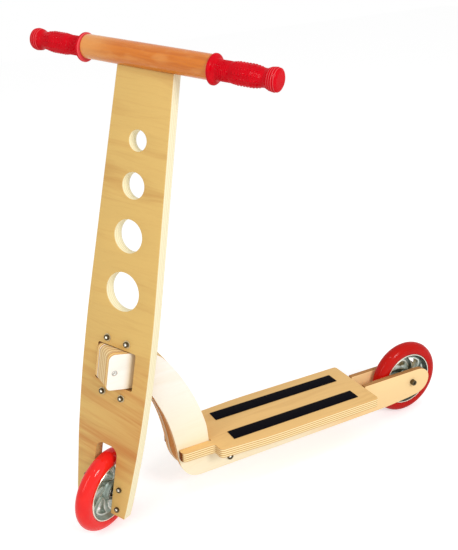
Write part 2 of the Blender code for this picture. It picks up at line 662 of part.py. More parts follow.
def build_board(axes):
    """Steering board with its holes, window, wheel slot, pin hole and bolt holes."""
    half = smooth(BOARD_SIDE, 2)
    slot = rounded([
        (SLOT_HALF, BOARD_BOTTOM, 0), (SLOT_HALF, SLOT_TOP, SLOT_CORNER), (-SLOT_HALF, SLOT_TOP, SLOT_CORNER),
        (-SLOT_HALF, BOARD_BOTTOM, 0),
    ], 22.0)
    mesh = flat_mesh([half + slot + [(-x, z) for x, z in reversed(half)]], BOARD_THICK)
    mesh.transform(FRONT_VIEW)
    board = add_part("steering_board", mesh, axes, "board_plywood")
    round_edges(board)
    window = rounded([
        (WINDOW_HALF, WINDOW_TOP, WINDOW_CORNER), (WINDOW_HALF, WINDOW_BOTTOM, WINDOW_CORNER),
        (-WINDOW_HALF, WINDOW_BOTTOM, WINDOW_CORNER), (-WINDOW_HALF, WINDOW_TOP, WINDOW_CORNER),
    ], 22.0)
    openings = flat_mesh([window] + [circle(0.0, z, radius, HOLE_STEPS) for z, radius in HOLES], 2 * BOARD_THICK)
    openings.transform(FRONT_VIEW)
    cut(board, add_part("board_openings", openings, axes, None, group=cutters))

    length = PIN_TOP + GAP - SLOT_TOP + 2.0
    pin_tool = drill("board_pin_hole", axes, [(0, 0, PIN_TOP + GAP - length / 2)], AXLE_RADIUS + GAP, length,
                     Matrix.Identity(4))
    cut(board, pin_tool)
    depth = BOARD_THICK + GAP + BLOCK_THICK - BOLT_TIP_COVER + GAP
    middle = (depth - 5.0 - BOARD_THICK) / 2
    places = [(side * WINDOW_BOLT_X, middle, z) for side in (-1, 1) for _, _, z in PIVOT_BLOCKS.values()]
    places += [(side * LEG_BOLT_X, middle, z) for side in (-1, 1) for z in (-LEG_BOLT_Z, LEG_BOLT_Z)]
    bolt_tool = drill("board_bolt_holes", axes, places, BOLT_RADIUS + GAP, depth + 5.0, ALONG_Y)
    cut(board, bolt_tool)
    side = AXLE_RADIUS + GAP
    open_end = BOARD_THICK / 2 + 2.0
    seat = rounded([
        (open_end, -side, 0), (TRAIL_OFFSET - side, -side, AXLE_RADIUS), (TRAIL_OFFSET - side, side, AXLE_RADIUS),
        (open_end, side, 0),
    ], 22.0)
    seat = flat_mesh([seat], 2 * (AXLE_END + GAP))
    seat.transform(SIDE_VIEW)
    cut(board, add_part("front_axle_seats", seat, axes, None, group=cutters))
    places = [(side * BAR_SCREW_X, 0, BOARD_TOP) for side in (-1, 1)]
    depth = 2 * (BOARD_TOP - BAR_SCREW_TIP + 1.0)
    screw_tool = drill("bar_screw_holes", axes, places, BAR_SCREW_RADIUS + GAP, depth + 30.0, Matrix.Identity(4))
    cut(board, screw_tool)
    return bolt_tool, screw_tool


def build_steering(axes):
    """Board, pivot pin, blocks, bolts, front axle, handlebar and grips."""
    bolt_tool, screw_tool = build_board(axes)
    front = BOARD_THICK / 2
    back = front + GAP
    block_back = back + BLOCK_THICK

    pin = round_bar(AXLE_RADIUS, PIN_TOP - PIN_BOTTOM)
    pin.transform(shift(0, 0, (PIN_TOP + PIN_BOTTOM) / 2))
    add_part("pivot_pin", pin, axes, "bright_steel")
    lower = ring_mesh(AXLE_RADIUS + GAP, PIN_WASHER, WINDOW_BOTTOM + GAP, NOSE_BOTTOM - GAP)
    upper = shift(0, 0, NOSE_TOP - WINDOW_BOTTOM)
    names = ["thrust_washer_lower", "thrust_washer_upper"]
    add_copies(names, lower, axes, "bright_steel", [Matrix.Identity(4), upper])

    for name, (low, high, _) in PIVOT_BLOCKS.items():
        mesh = block_mesh((-PIVOT_BLOCK_HALF, back, low), (PIVOT_BLOCK_HALF, block_back, high))
        block = add_part(name, mesh, axes, "block_beech")
        round_edges(block, 1.2)
        cut(block, bolt_tool)
    for side, name in ((-1, "axle_block_left"), (1, "axle_block_right")):
        xs = sorted((side * SLOT_HALF, side * AXLE_BLOCK_OUTER))
        mesh = block_mesh((xs[0], back, BOARD_BOTTOM), (xs[1], block_back, AXLE_BLOCK_TOP))
        block = add_part(name, mesh, axes, "block_beech")
        round_edges(block, 1.0)
        cut(block, bolt_tool)

    washer = ring_mesh(BOLT_RADIUS + GAP, WASHER_RADIUS, GAP, GAP + WASHER_THICK, 2 * SMALL_STEPS)
    reach = BOARD_THICK + GAP + BLOCK_THICK - BOLT_TIP_COVER
    window_places = [(side * WINDOW_BOLT_X, z) for side in (-1, 1) for _, _, z in PIVOT_BLOCKS.values()]
    leg_places = [(side * LEG_BOLT_X, z) for side in (-1, 1) for z in (LEG_BOLT_Z, -LEG_BOLT_Z)]
    for kind, places, seat in (("window", window_places, WASHER_THICK + 2 * GAP), ("leg", leg_places, GAP)):
        bolt = bolt_mesh(BOLT_RADIUS, seat + reach, SCREW_HEAD, SCREW_HEAD_HEIGHT)
        bolt.transform(shift(0, 0, seat))
        heads = [shift(x, -front, z) @ ALONG_Y for x, z in places]
        add_copies([f"{kind}_bolt_{i}" for i in (1, 2, 3, 4)], bolt, axes, "dark_steel", heads)
        if kind == "window":
            add_copies([f"window_washer_{i}" for i in (1, 2, 3, 4)], washer, axes, "bright_steel", heads)

    axle = round_bar(AXLE_RADIUS, 2 * AXLE_END)
    axle.transform(shift(0, TRAIL_OFFSET, 0) @ ALONG_X)
    add_part("front_axle", axle, axes, "bright_steel")

    profile = [
        (0.0, TENON_END), (TENON_RADIUS - 1, TENON_END), (TENON_RADIUS, TENON_END - 1), (TENON_RADIUS, BAR_SHOULDER),
        (BAR_RADIUS - 1, BAR_SHOULDER), (BAR_RADIUS, BAR_SHOULDER - 1),
    ]
    profile += [(r, -h) for r, h in reversed(profile)]
    mesh = turned_mesh(profile, BAR_STEPS, closed=False)
    for vertex in mesh.vertices:
        if vertex.co.xy.length > TENON_RADIUS + GAP:
            vertex.co.x -= BAR_LIFT
    bar = add_part("handlebar", mesh, axes, "bar_beech", shift(0, BAR_Y * MM, BAR_Z * MM) @ ALONG_X)
    seat_reach = BOARD_SIDE[0][0] + 0.8
    seat = block_mesh((-seat_reach, -back, BAR_Z - 2 * BAR_RADIUS), (seat_reach, back, BOARD_TOP + GAP))
    cut(bar, add_part("bar_seat", seat, axes, None, group=cutters))
    cut(bar, screw_tool)
    bar_top = BAR_Z + BAR_LIFT + math.sqrt(BAR_RADIUS ** 2 - BAR_Y ** 2)
    sinks = [(side * BAR_SCREW_X, 0, bar_top) for side in (-1, 1)]
    cut(bar, drill("bar_screw_sinks", axes, sinks, BAR_SCREW_HEAD + GAP, 8.0, Matrix.Identity(4)))
    screw = turned_mesh([
        (0.0, 3.0), (BAR_SCREW_HEAD - 0.4, 3.0), (BAR_SCREW_HEAD, 2.6), (BAR_SCREW_HEAD, 0.0),
        (BAR_SCREW_RADIUS, 0.0), (BAR_SCREW_RADIUS, BAR_SCREW_TIP + 8.0 - bar_top), (0.0, BAR_SCREW_TIP - bar_top),
    ], SMALL_STEPS, closed=False)
    places = [shift(side * BAR_SCREW_X, 0, bar_top - 4.0 + GAP) for side in (-1, 1)]
    add_copies(["bar_screw_left", "bar_screw_right"], screw, axes, "dark_steel", places)

    start = BAR_SHOULDER + GAP
    outer = [
        (GRIP_CAP - 4.0, GRIP_END), (GRIP_CAP - 0.8, GRIP_END - 2.5), (GRIP_CAP, GRIP_END - 7.0),
        (GRIP_CAP - 0.8, GRIP_END - 12.5), (GRIP_WAIST, GRIP_END - 19.5), (GRIP_WAIST, GRIP_END - 23.0),
        (GRIP_BODY, GRIP_END - 38.0), (GRIP_BODY, start + 34.0), (GRIP_COLLAR, start + 30.0),
        (GRIP_COLLAR, start + 8.5), (GRIP_FLANGE - 1.4, start + 5.2), (GRIP_FLANGE, start + 3.6),
        (GRIP_FLANGE, start + 1.2), (GRIP_FLANGE - 1.2, start),
    ]
    bore = TENON_RADIUS + GAP
    profile = [(0.0, GRIP_END)] + outer + [(bore, start), (bore, TENON_END + GAP), (0.0, TENON_END + GAP)]
    for side, name in ((-1, "grip_left"), (1, "grip_right")):
        turn = ALONG_X if side > 0 else Matrix.Rotation(math.pi, 4, "Z") @ ALONG_X
        place = shift(0, BAR_Y * MM, BAR_Z * MM) @ turn
        add_part(name, turned_mesh(profile, GRIP_STEPS, closed=False), axes, "grip_rubber", place)


clear_scene()
parts = make_collection("kick_scooter")
cutters = make_collection("cutters")

rear_place = Matrix.Translation((0, WHEELBASE / 2 * MM, TYRE_RADIUS * MM))
frame_axes = make_axes("frame_axes", rear_place @ Matrix.Rotation(math.radians(-FRAME_PITCH), 4, "X"))
steering_axes = make_axes("steering_axes", steering_matrix(STEER_AT_REST))
front_wheel_axes = make_axes("front_wheel_axes", Matrix.Translation((0, TRAIL_OFFSET * MM, 0)), steering_axes)

build_frame(frame_axes)
build_wheel("rear", frame_axes)
add_axle_spacers("rear", frame_axes, PLATE_INNER, 0.0)
build_rear_axle(frame_axes)

build_steering(steering_axes)
build_wheel("front", front_wheel_axes)
add_axle_spacers("front", steering_axes, SLOT_HALF, TRAIL_OFFSET)
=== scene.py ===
"""Wooden kick scooter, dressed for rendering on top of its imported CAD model.

Every piece is made in the millimetres of its own assembly's axes and placed by one matrix, so it sits where
the CAD node that it stands for sits. The frame's axes have their origin at the rear wheel's centre, s to the
rear and n square to the deck. The steering's axes have x across the board, y to the back and z up the
steering axis.
"""

import logging
import math
from collections.abc import Callable
from dataclasses import dataclass, field
from enum import Enum

import bpy
import numpy as np
from mathutils import Matrix, Vector
from mathutils.geometry import tessellate_polygon


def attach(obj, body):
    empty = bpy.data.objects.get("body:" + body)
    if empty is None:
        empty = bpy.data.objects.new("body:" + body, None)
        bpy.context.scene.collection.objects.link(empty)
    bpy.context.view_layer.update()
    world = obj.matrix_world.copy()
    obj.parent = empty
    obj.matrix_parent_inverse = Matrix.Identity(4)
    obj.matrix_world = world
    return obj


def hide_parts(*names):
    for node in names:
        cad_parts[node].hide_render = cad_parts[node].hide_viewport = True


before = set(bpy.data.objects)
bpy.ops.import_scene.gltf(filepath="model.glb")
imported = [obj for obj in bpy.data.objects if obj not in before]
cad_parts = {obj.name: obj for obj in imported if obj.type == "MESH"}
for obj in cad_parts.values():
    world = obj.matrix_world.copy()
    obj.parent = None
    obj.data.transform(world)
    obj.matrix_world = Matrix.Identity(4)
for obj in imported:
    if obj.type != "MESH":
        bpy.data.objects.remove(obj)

log = logging.getLogger("kick_scooter")
MM = 0.001
TURN = 2 * math.pi
SHARP = math.radians(38)

# Sizes that more than one assembly reads
GAP = 0.3
PINHOLE = 4.3
WHEELBASE = 620.0
WHEEL_RADIUS = 72.5
HUB_HALF = 13.3
AXLE = 4.0
SLEEVE = 6.5
BOLT = 3.0
PITCH = math.radians(2.4)
ALONG_DECK = (0.0, math.cos(PITCH), -math.sin(PITCH))
RAKE = math.radians(13.0)
TRAIL = 5.0
FRONT_DROP = 0.522
TURNED = math.radians(30.0)


def shift(x: float, y: float, z: float) -> Matrix:
    """A move in millimetres."""
    return Matrix.Translation((x, y, z))


def frame_axes() -> Matrix:
    """The frame's axes in world metres."""
    return shift(0, WHEELBASE / 2 * MM, WHEEL_RADIUS * MM) @ Matrix.Rotation(-PITCH, 4, "X")


def steering_axes() -> Matrix:
    """The steering's axes in world metres."""
    foot = Vector((0, -WHEELBASE / 2, WHEEL_RADIUS - FRONT_DROP))
    foot += TRAIL * Vector((0, -math.cos(RAKE), math.sin(RAKE)))
    return Matrix.Translation(foot * MM) @ Matrix.Rotation(-RAKE, 4, "X") @ Matrix.Rotation(TURNED, 4, "Z")


# Surfaces

@dataclass
class Surface:
    """Points and faces of one or more closed shells, in millimetres.

    Args:
        points: Array of places, one row each.
        quads: Array of four point indices per face.
        triangles: Array of three point indices per face.
        flat: Whether the triangles are shaded flat.
        grain: The coordinates that materials read, the points themselves if left out.
    """

    points: np.ndarray
    quads: np.ndarray
    triangles: np.ndarray = field(default_factory=lambda: np.zeros((0, 3), int))
    flat: bool = False
    grain: np.ndarray | None = None

    def __post_init__(self) -> None:
        """Fills in the grain and turns the faces outward."""
        if self.grain is None:
            self.grain = self.points.copy()
        if self.volume() < 0:
            self.quads = self.quads[:, ::-1]
            self.triangles = self.triangles[:, ::-1]

    def volume(self) -> float:
        """Signed volume of the shells, positive where their faces look outward."""
        thirds = [self.triangles, self.quads[:, [0, 1, 2]], self.quads[:, [0, 2, 3]]]
        a, b, c = (self.points[np.concatenate(thirds)[:, i]] for i in range(3))
        return float(np.einsum("ij,ij->i", a, np.cross(b, c)).sum() / 6)

    def moved(self, place: Matrix) -> "Surface":
        """The surface at another place, its grain coordinates kept.

        Args:
            place: Matrix in millimetres.

        Returns:
            A new surface.
        """
        spun = np.array(place, float)
        points = self.points @ spun[:3, :3].T + spun[:3, 3]
        return Surface(points, self.quads, self.triangles, self.flat, self.grain)

    def laid(self, basis: "Basis", x: float = 0.0, y: float = 0.0, z: float = 0.0) -> "Surface":
        """The surface with its axes laid along those of a basis, and its origin at a place."""
        return self.moved(shift(x, y, z) @ basis.matrix())

    def mesh(self, name: str, place: Matrix) -> bpy.types.Mesh:
        """Makes the Blender mesh in world metres.

        Args:
            name: The mesh's name.
            place: The assembly's axes in metres.

        Returns:
            The mesh, with a point attribute named grain in millimetres.
        """
        mesh = bpy.data.meshes.new(name)
        spun = np.array(place, float)
        world = (self.points * MM) @ spun[:3, :3].T + spun[:3, 3]
        corners = np.concatenate([self.quads.ravel(), self.triangles.ravel()])
        starts = np.concatenate([
            4 * np.arange(len(self.quads)), 4 * len(self.quads) + 3 * np.arange(len(self.triangles)),
        ])
        mesh.vertices.add(len(world))
        mesh.vertices.foreach_set("co", world.ravel())
        mesh.loops.add(len(corners))
        mesh.loops.foreach_set("vertex_index", corners)
        mesh.polygons.add(len(starts))
        mesh.polygons.foreach_set("loop_start", starts)
        mesh.update(calc_edges=True)
        soft = np.ones(len(starts), bool)
        if self.flat:
            soft[len(self.quads):] = False
        mesh.polygons.foreach_set("use_smooth", soft)
        mesh.attributes.new("grain", "FLOAT_VECTOR", "POINT")
        mesh.attributes["grain"].data.foreach_set("vector", self.grain.ravel())
        mesh.validate()
        return mesh


def joined(surfaces: list[Surface]) -> Surface:
    """Several shells as one surface.

    Args:
        surfaces: The shells.

    Returns:
        One surface that holds them all.
    """
    starts = np.cumsum([0] + [len(s.points) for s in surfaces])
    return Surface(
        np.concatenate([s.points for s in surfaces]),
        np.concatenate([s.quads + k for s, k in zip(surfaces, starts)]),
        np.concatenate([s.triangles + k for s, k in zip(surfaces, starts)]),
        any(s.flat for s in surfaces),
        np.concatenate([s.grain for s in surfaces]),
    )


class Basis(Enum):
    """How a shape's own x, y and z lie in its assembly's axes."""

    SIDE = ((0, 0, 1), (1, 0, 0), (0, 1, 0))
    FRONT = ((1, 0, 0), (0, 0, -1), (0, 1, 0))
    RIGHT = ((0, 0, 1), (0, 1, 0), (-1, 0, 0))
    LEFT = ((0, 0, -1), (0, -1, 0), (-1, 0, 0))

    def matrix(self) -> Matrix:
        """The basis as a matrix of four by four."""
        return Matrix(self.value).to_4x4()


def grid_quads(rows: int, columns: int, closed_rows: bool) -> np.ndarray:
    """Faces of a grid of points whose columns close into rings.

    Args:
        rows: Number of rings.
        columns: Points in each ring.
        closed_rows: Whether the last ring joins the first.

    Returns:
        Array of four indices per face.
    """
    i, j = np.meshgrid(np.arange(rows if closed_rows else rows - 1), np.arange(columns), indexing="ij")
    a = i * columns + j
    b = i * columns + (j + 1) % columns
    c = ((i + 1) % rows) * columns + (j + 1) % columns
    d = ((i + 1) % rows) * columns + j
    return np.stack([a, b, c, d], -1).reshape(-1, 4)


def rings(radii: np.ndarray, heights: np.ndarray) -> Surface:
    """A closed surface about z from rings of points.

    Each point lies at (r cos a, r sin a, h), with a going evenly round. Where the first and last rings have
    no radius the surface ends in a pole there, and otherwise its last ring joins its first.

    Args:
        radii: Radius of each point, rings by columns.
        heights: Height of each point, the same shape.

    Returns:
        The surface.
    """
    rows, columns = radii.shape
    angle = TURN * np.arange(columns) / columns
    points = np.stack([radii * np.cos(angle), radii * np.sin(angle), heights], -1)
    if radii[0].max() > 1e-9:
        return Surface(points.reshape(-1, 3), grid_quads(rows, columns, True))
    inner = points[1:-1].reshape(-1, 3)
    poles = np.stack([points[0, 0], points[-1, 0]])
    around = np.arange(columns)
    after = (around + 1) % columns
    first = np.stack([np.full(columns, len(inner)), after, around], -1)
    base = (rows - 3) * columns
    last = np.stack([np.full(columns, len(inner) + 1), base + around, base + after], -1)
    sides = grid_quads(rows - 2, columns, False)
    return Surface(np.concatenate([inner, poles]), sides, np.concatenate([first, last]))


def turned(profile: np.ndarray, columns: int) -> Surface:
    """A turned surface about z from (radius, height) points."""
    wide = np.ones((1, columns))
    return rings(profile[:, :1] * wide, profile[:, 1:] * wide)


def rounded(corners: list[tuple[float, float, float]], step: float = 8.0, closed: bool = True) -> np.ndarray:
    """A line through (x, y, radius) corners, with each corner drawn as an arc.

    Args:
        corners: The corners and their radii.
        step: Largest turn in degrees between two points of an arc.
        closed: Whether the line closes, else its two ends stay sharp.

    Returns:
        Array of points.
    """
    places = np.array([c[:2] for c in corners], float)
    parts = []
    count = len(corners)
    for i, (_, _, radius) in enumerate(corners):
        here = places[i]
        end = not closed and i in (0, count - 1)
        if radius <= 0 or end:
            parts.append(here[None])
            continue
        before = places[i - 1] - here
        after = places[(i + 1) % count] - here
        before /= np.linalg.norm(before)
        after /= np.linalg.norm(after)
        half = math.acos(float(np.clip(before @ after, -1, 1))) / 2
        middle = before + after
        centre = here + middle / np.linalg.norm(middle) * radius / math.sin(half)
        start = here + before * radius / math.tan(half) - centre
        stop = here + after * radius / math.tan(half) - centre
        angle = math.atan2(start[0] * stop[1] - start[1] * stop[0], float(start @ stop))
        turn = angle * np.linspace(0, 1, max(3, math.ceil(abs(math.degrees(angle)) / step) + 1))
        c, s = np.cos(turn), np.sin(turn)
        parts.append(centre + np.stack([c * start[0] - s * start[1], s * start[0] + c * start[1]], -1))
    return np.concatenate(parts)


def smooth(points: list[tuple[float, float]], pieces: int = 6) -> np.ndarray:
    """A smooth line through points, each stretch a cubic whose slopes come from the neighbours.

    Args:
        points: The places that the line passes.
        pieces: Points on each stretch.

    Returns:
        Array of points.
    """
    known = np.array([points[0], *points, points[-1]], float)
    p, q, r, s = (known[i:len(known) - 3 + i, None] for i in range(4))
    t = (np.arange(pieces) / pieces)[None, :, None]
    square, cube = 2 * p - 5 * q + 4 * r - s, 3 * q - p - 3 * r + s
    line = 0.5 * (2 * q + (r - p) * t + square * t ** 2 + cube * t ** 3)
    return np.concatenate([line.reshape(-1, 2), known[-1:]])


def circle(x: float, y: float, radius: float, columns: int = 72) -> np.ndarray:
    """A closed round line."""
    angle = TURN * np.arange(columns) / columns
    return np.stack([x + radius * np.cos(angle), y + radius * np.sin(angle)], -1)


@dataclass
class Slab:
    """A plate between two flat faces with rounded edges.

    The edge is a quarter circle: a point turned by t from the face lies r (1 - sin t) inside the outline and
    r (1 - cos t) below the face.

    Args:
        outline: Outer line.
        holes: Lines of the openings.
        thickness: Distance between the faces, shared about z = 0.
        edge: Radius of the rounded edges.
        steps: Stretches in each rounded edge.
    """

    outline: np.ndarray
    thickness: float
    edge: float
    holes: list[np.ndarray] = field(default_factory=list)
    steps: int = 4

    def surface(self) -> Surface:
        """The plate's surface.

        Returns:
            A closed surface whose faces on both sides are flat.
        """
        t = np.linspace(0, math.pi / 2, self.steps + 1)
        inset = self.edge * (1 - np.sin(t))
        depth = self.thickness / 2 - self.edge * (1 - np.cos(t))
        inset = np.concatenate([inset, inset[::-1]])
        depth = np.concatenate([depth, -depth[::-1]])
        points, quads, tops, bottoms = [], [], [], []
        start = 0
        for number, line in enumerate([self.outline, *self.holes]):
            line = oriented(line, number == 0)
            inward = miters(line)
            count = len(line)
            flat = line[None] + inward[None] * inset[:, None, None]
            high = np.broadcast_to(depth[:, None, None], flat.shape[:2] + (1,))
            points.append(np.concatenate([flat, high], -1).reshape(-1, 3))
            quads.append(grid_quads(len(inset), count, False) + start)
            tops.append(start + np.arange(count))
            bottoms.append(start + (len(inset) - 1) * count + np.arange(count))
            start += len(inset) * count
        everything = np.concatenate(points)
        faces = np.array(tessellate_polygon([[Vector(everything[i]) for i in loop] for loop in tops]), int)
        upper = np.concatenate(tops)[faces]
        lower = np.concatenate(bottoms)[faces]
        a, b, c = (everything[upper[:, i], :2] for i in range(3))
        if np.cross(b - a, c - a).sum() > 0:
            lower = lower[:, ::-1]
        else:
            upper = upper[:, ::-1]
        return Surface(everything, np.concatenate(quads)[:, ::-1], np.concatenate([upper, lower]), True)


def oriented(line: np.ndarray, left: bool) -> np.ndarray:
    """The line turned round if needed, to run anticlockwise where left is set and else clockwise."""
    x, y = line.T
    area = float(np.sum(x * np.roll(y, -1) - y * np.roll(x, -1)))
    return line if (area > 0) == left else line[::-1]


def miters(line: np.ndarray) -> np.ndarray:
    """For each point of a closed line, the move to its left that shifts both its sides by one."""
    step = np.roll(line, -1, 0) - line
    step /= np.linalg.norm(step, axis=1, keepdims=True)
    normal = np.stack([-step[:, 1], step[:, 0]], -1)
    before = np.roll(normal, 1, 0)
    both = normal + before
    return both / np.maximum(1 + np.sum(normal * before, 1, keepdims=True), 0.25)


# Shader nodes

def operation(name: str) -> Callable[..., "Value"]:
    """A method that puts a value through one Math node.

    Args:
        name: The node's operation.

    Returns:
        The method, which takes the node's other inputs.
    """
    def applied(value: "Value", *others: "Value | float") -> "Value":
        """The node's output."""
        return value.shader.node("ShaderNodeMath", dict(enumerate((value, *others))), operation=name)

    return applied


class Value:
    """A node's output that can be used in arithmetic.

    Args:
        shader: The shader it belongs to.
        socket: The node's output socket.
    """

    def __init__(self, shader: "Shader", socket: bpy.types.NodeSocket) -> None:
        """Keeps the shader and the socket."""
        self.shader = shader
        self.socket = socket

    __add__ = __radd__ = operation("ADD")
    __mul__ = __rmul__ = operation("MULTIPLY")
    __sub__ = operation("SUBTRACT")
    __truediv__ = operation("DIVIDE")
    __pow__ = operation("POWER")
    __abs__ = operation("ABSOLUTE")
    larger = operation("MAXIMUM")
    cos = operation("COSINE")

    def __rsub__(self, other: "Value | float") -> "Value":
        """The other less this value."""
        return (self * -1.0) + other

    def ramp(self, low: float, high: float) -> "Value":
        """A smooth step from 0 at low to 1 at high."""
        inputs = {"Value": self, "From Min": low, "From Max": high}
        return self.shader.node("ShaderNodeMapRange", inputs, interpolation_type="SMOOTHSTEP")


Colour = tuple[int, int, int]


def linear(colour: Colour) -> tuple[float, float, float, float]:
    """A colour of 0 to 255 as the linear numbers that sockets take."""
    share = np.array(colour, float) / 255
    flat = np.where(share <= 0.04045, share / 12.92, ((share + 0.055) / 1.055) ** 2.4)
    return (*(float(v) for v in flat), 1.0)


class Shader:
    """Builds the node tree of one material or world.

    Args:
        owner: The material or world.
    """

    def __init__(self, owner: bpy.types.Material | bpy.types.World) -> None:
        """Empties the owner's node tree."""
        owner.use_nodes = True
        self.owner = owner
        self.tree = owner.node_tree
        self.tree.nodes.clear()

    def finish(self, surface: Value) -> None:
        """Leads the last node to the tree's output."""
        kind = "World" if isinstance(self.owner, bpy.types.World) else "Material"
        out = self.tree.nodes.new(f"ShaderNodeOutput{kind}")
        self.tree.links.new(surface.socket, out.inputs["Surface"])

    def node(self, kind: str, inputs: dict | None = None, output: int | str = 0, **settings: object) -> Value:
        """Adds one node.

        Args:
            kind: The node's type.
            inputs: Values or other nodes' outputs by the socket's name, number or identifier.
            output: Which output comes back.
            **settings: The node's own settings.

        Returns:
            The chosen output.
        """
        made = self.tree.nodes.new(kind)
        for name, setting in settings.items():
            setattr(made, name, setting)
        for name, value in (inputs or {}).items():
            socket = self._socket(made.inputs, name)
            if isinstance(value, Value):
                self.tree.links.new(value.socket, socket)
            else:
                socket.default_value = value
        return Value(self, self._socket(made.outputs, output))

    def _socket(self, sockets: bpy.types.bpy_prop_collection, key: int | str) -> bpy.types.NodeSocket:
        """The socket with a number, an identifier or a name."""
        if isinstance(key, int):
            return sockets[key]
        return next(s for s in sockets if key in (s.identifier, s.name))

    def outputs(self, value: Value, *keys: int | str) -> list[Value]:
        """Some outputs of the node that a value comes from."""
        return [Value(self, self._socket(value.socket.node.outputs, key)) for key in keys]

    def grain(self) -> list[Value]:
        """The piece's own coordinates in millimetres."""
        place = self.node("ShaderNodeAttribute", output="Vector", attribute_name="grain")
        return self.split(place)

    def split(self, vector: Value) -> list[Value]:
        """The three parts of a vector."""
        return self.outputs(self.node("ShaderNodeSeparateXYZ", {0: vector}), 0, 1, 2)

    def vector(self, x: Value | float, y: Value | float, z: Value | float) -> Value:
        """A vector from three numbers."""
        return self.node("ShaderNodeCombineXYZ", {0: x, 1: y, 2: z})

    def noise(self, x: Value | float, y: Value | float, z: Value | float, detail: float = 2.0,
              roughness: float = 0.5) -> Value:
        """Noise from 0 to 1 whose features are about one unit wide in each of the three numbers."""
        inputs = {"Vector": self.vector(x, y, z), "Scale": 1.0, "Detail": detail, "Roughness": roughness}
        return self.node("ShaderNodeTexNoise", inputs)

    def mix(self, share: Value | float, a: Value | Colour, b: Value | Colour, mode: str = "MIX") -> Value:
        """Two colours mixed by a share of the second one."""
        a, b = (v if isinstance(v, Value) else linear(v) for v in (a, b))
        inputs = {"Factor_Float": share, "A_Color": a, "B_Color": b}
        return self.node("ShaderNodeMix", inputs, "Result_Color", data_type="RGBA", blend_type=mode,
                         clamp_factor=True)

    def scaled(self, colour: Value, factor: Value | float) -> Value:
        """A colour made brighter or darker by a factor."""
        return self.node("ShaderNodeVectorMath", {0: colour, "Scale": factor}, operation="SCALE")

    def bump(self, height: Value, distance: float) -> Value:
        """A bumped normal whose height of one is the distance in millimetres."""
        return self.node("ShaderNodeBump", {"Height": height, "Distance": distance * MM})

    def facing(self, direction: tuple[float, float, float]) -> Value:
        """How squarely the surface looks along a direction that is fixed to the piece, from 0 to 1."""
        normal = self.node("ShaderNodeTexCoord", output="Normal")
        inputs = {0: normal, 1: direction}
        return abs(self.node("ShaderNodeVectorMath", inputs, "Value", operation="DOT_PRODUCT"))

    def principled(self, colour: Value, rough: Value, normal: Value, specular: float = 0.5, coat: float = 0.0,
                   coat_roughness: float = 0.03, metallic: float = 0.0) -> Value:
        """The surface that every finish ends in."""
        return self.node("ShaderNodeBsdfPrincipled", {
            "Base Color": colour, "Roughness": rough, "Normal": normal, "Specular IOR Level": specular,
            "Coat Weight": coat, "Coat Roughness": coat_roughness, "Metallic": metallic,
        }, "BSDF")


@dataclass(frozen=True)
class Finish:
    """A material's fixed settings, shared by every kind of finish.

    Args:
        name: The material's name.
        slot: The record's material slot, not used.
    """

    name: str
    slot: str

    @property
    def label(self) -> str:
        """The name of the Blender material, apart from the record's own names."""
        return f"{self.name}_finish"

    def build(self) -> bpy.types.Material:
        """Makes the material.

        Returns:
            The material, with its own node tree.
        """
        material = bpy.data.materials.new(self.label)
        shader = Shader(material)
        shader.finish(self.surface(shader))
        return material

    def surface(self, shader: Shader) -> Value:
        """The shader's last node, made by each kind of finish."""
        raise NotImplementedError


@dataclass(frozen=True)
class Plywood(Finish):
    """Varnished plywood: a face veneer on both sides and plies seen on the edges.

    The piece's grain coordinates run along the face grain, across it and through the thickness. Where the
    depth is within the veneer of a face, the surface shows the veneer, and elsewhere plies whose tone goes
    with cos(pi (t - 1/2)), t being the depth counted in plies.
    """

    face: Colour = (230, 190, 122)
    streak: Colour = (205, 155, 92)
    light: Colour = (250, 235, 190)
    dark: Colour = (215, 180, 125)
    glue: Colour = (150, 105, 60)
    thickness: float = 15.0
    plies: int = 7
    veneer: float = 0.55
    band: float = 24.0
    contrast: float = 0.6
    specular: float = 0.2

    def tint(self, shader: Shader, u: Value, v: Value, veneer: Value, ply: Value) -> tuple[Value, Value]:
        """Tones that change over the whole piece, none here.

        Args:
            shader: The material's builder.
            u: Place along the face grain.
            v: Place across it.
            veneer: Colour of the faces.
            ply: Colour of the edges.

        Returns:
            The colours of the faces and of the edges.
        """
        return veneer, ply

    def surface(self, shader: Shader) -> Value:
        """Face, plies, glue lines, varnish and fibre relief."""
        u, v, w = shader.grain()
        warp = shader.noise(u / 120.0, v / 60.0, 4.0) - 0.5
        broad = shader.noise(u / 300.0, v / self.band + warp * 1.3, 1.5, 3.0, 0.55)
        narrow = shader.noise(u / 90.0, v / 4.0 + warp * 5.0, 8.0, 4.0, 0.6)
        fibre = shader.noise(u / 9.0, v / 0.5, w / 0.5, 2.0)
        share = broad.ramp(0.46, 0.72) * self.contrast + (narrow - 0.5) * 0.9
        veneer = shader.mix(share, self.face, self.streak)
        veneer = shader.scaled(veneer, fibre * 0.10 + 0.95)
        count = (w + self.thickness / 2) * (self.plies / self.thickness)
        tone = ((count - 0.5) * math.pi).cos()
        mottle = shader.noise(u / 30.0, v / 30.0, w / 0.45, 3.0)
        ply = shader.mix(tone.ramp(-0.05, 0.45), self.light, self.dark)
        ply = shader.scaled(ply, mottle * 0.16 + 0.92)
        line = 1.0 - abs(tone - 0.1).ramp(0.0, 0.22)
        ply = shader.mix(line * 0.55, ply, self.glue)
        veneer, ply = self.tint(shader, u, v, veneer, ply)
        half = self.thickness / 2
        on_face = abs(w).ramp(half - self.veneer - 0.08, half - self.veneer + 0.08)
        colour = shader.mix(on_face, ply, veneer)
        rough = 0.50 - on_face * 0.12 + (fibre - 0.5) * 0.10
        return shader.principled(colour, rough, shader.bump(fibre * 0.5 + narrow * 0.5, 0.05), self.specular)


